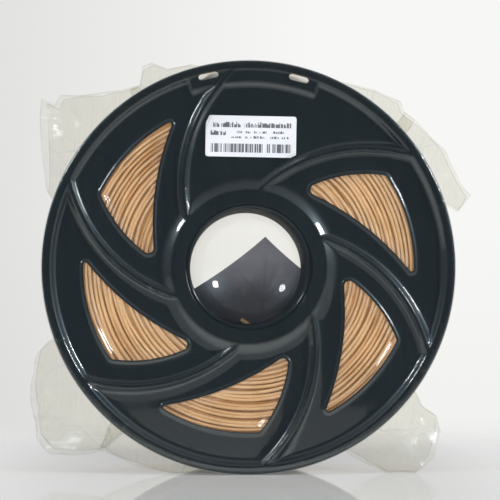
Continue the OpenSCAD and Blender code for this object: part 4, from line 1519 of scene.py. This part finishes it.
def pale_floor():
    """A board that is polished at the sides, dull in the middle, and has no far edge."""
    material, graph = new_finish("pale_board")
    place = graph.place()
    x, y, _ = graph.apart(place)
    path = graph.add("LightPath").outputs
    colour = graph.ramp(graph.noise(place, 3.0, 2.0), (0.3, (0.91, 0.92, 0.90)),
                        (0.7, (0.95, 0.96, 0.94)))
    worn = graph.spread(graph.maths("ABSOLUTE", x), (0.06, 0.15), (0.52, 1.0), soft=True)
    board = graph.blend(worn, graph.plain("BsdfDiffuse", colour),
                        graph.solid(Base_Color=colour, Roughness=0.02, IOR=1.5))
    # A little more light for the camera alone, so that the floor stays pale to its edge
    lift = graph.plain("Emission", PAPER_WHITE,
                       Strength=graph.maths("MULTIPLY", path["Is Camera Ray"], FLOOR_LIFT))
    paler = graph.add("AddShader", at0=board, at1=lift).outputs[0]
    # The far edge fades into the backdrop
    fade = graph.spread(y, (0.05, BOARD_BACK), (0.0, 1.0), soft=True)
    shown = graph.blend(fade, paler, graph.add("BsdfTransparent").outputs[0])
    # In the plastic and the film the board shows as a painted reflection: pale, most of
    # all near the spool, with painted shadow under it
    near = graph.spread(y, (-0.14, -0.07), (0.38, 0.88), soft=True)
    # Painted shadow: the mirrored board turns dark under the spool
    painted_shadow = graph.spread(y, (-0.05, -0.032), (1.0, 0.3))
    mirrored = graph.plain("Emission", PAPER_WHITE, Strength=graph.maths("MULTIPLY", near, painted_shadow))
    graph.cover(graph.blend(path["Is Glossy Ray"], shown, mirrored))
    return material


floor_mesh = bpy.data.meshes.new("floor")
floor_mesh.from_pydata([(-BOARD_SIDE, BOARD_FRONT, FLOOR_Z), (BOARD_SIDE, BOARD_FRONT, FLOOR_Z),
                        (BOARD_SIDE, BOARD_BACK, FLOOR_Z), (-BOARD_SIDE, BOARD_BACK, FLOOR_Z)],
                       [], [(0, 1, 2, 3)])
floor_mesh.materials.append(pale_floor())
floor = new_thing("floor", floor_mesh)
print(f"the board is {2 * BOARD_SIDE:.1f} m wide")

# %% The surroundings
BEHIND_BORE = (0.03, 0.9995, 0.011)     # the way in which the camera sees the bore's end
world = bpy.data.worlds.new("studio")
bpy.context.scene.world = world
sky = Graph(world)
towards = sky.place("Generated")
x, y, z = sky.apart(towards)
path = sky.add("LightPath").outputs

# What lights the spool, and with a pale part behind, what the plastic mirrors: dark
# straight in front, and a little lighter on the right and above
around = sky.spread(y, (-0.95, -0.6), (0.04, 0.21), soft=True)
behind = sky.spread(y, (0.0, 0.5), (0.0, 0.65), soft=True)
right = sky.maths("MULTIPLY_ADD", x, 0.35, sky.maths("MULTIPLY_ADD", z, 0.2, 1.0))
mirrored = sky.maths("MULTIPLY_ADD", around, right, behind)

# The backdrop, a little brighter in its middle, right behind the bore
sideways = sky.spread(x, (-0.12, 0.06), (0.74, 0.93))
lower = sky.spread(z, (-0.09, 0.03), (0.94, 1.0))
aside = sky.maths("DISTANCE", towards, BEHIND_BORE, kind="VectorMath", result="Value")
centre = sky.spread(aside, (0.04, 0.1), (1.1, 1.0), soft=True)
pale = sky.maths("MULTIPLY", sky.maths("MULTIPLY", sideways, lower), centre)

seen = sky.maths("MAXIMUM", path["Is Camera Ray"], path["Is Transmission Ray"])
lit = sky.blend(path["Is Glossy Ray"],
                sky.plain("Background", (0.95, 0.97, 1.0, 1), Strength=around),
                sky.plain("Background", (1, 1, 1, 1), Strength=mirrored))
sky.cover(sky.blend(seen, lit, sky.plain("Background", PAPER_WHITE, Strength=pale)), "World")
print(f"the surroundings take {len(sky.tree.nodes)} nodes")


# %% Two small lamps, and a large soft one behind the camera that nothing mirrors
def lamp(name, place, size, power):
    """A round lamp that shines on the spool."""
    light = bpy.data.lights.new(name, "AREA")
    light.shape = "DISK"
    light.size = size
    light.energy = power
    thing = new_thing(name, light)
    thing.location = place
    thing.rotation_euler = (-Vector(place)).to_track_quat("-Z", "Y").to_euler()
    print(f"{name}: {power} W, {size} m across, {Vector(place).length:.1f} m away")
    return thing


lamp("lamp_left", (-1.10, -0.62, 0.72), 0.27, 3.3)
lamp("lamp_right", (1.17, -0.66, 0.59), 0.26, 5.8)
lamp("front_fill", (-0.05, -1.35, 0.05), 0.6, 13.2).visible_glossy = False

# %% The camera, almost a metre away, a little left of the axis and just below it
DISTANCE = 0.92
FIELD = 0.2414          # width of the picture at the front face, in metres
camera_data = bpy.data.cameras.new("camera")
camera = new_thing("camera", camera_data)
front_y = -HALF_W * MM
camera.location = (-0.028, front_y - DISTANCE, -0.010)
aim = Vector((0.0004, front_y, 0.0082))
camera.rotation_euler = (aim - camera.location).to_track_quat("-Z", "Y").to_euler()
camera_data.sensor_fit = "HORIZONTAL"
camera_data.angle = 2 * math.atan(FIELD / 2 / (aim - camera.location).length)
bpy.context.scene.camera = camera
bpy.context.scene.view_settings.view_transform = "Standard"
print(f"the camera sees {math.degrees(camera_data.angle):.1f} degrees")

# %% Show the frame's box
print("frame ", [[round(v, 4) for v in c] for c in cad_box])
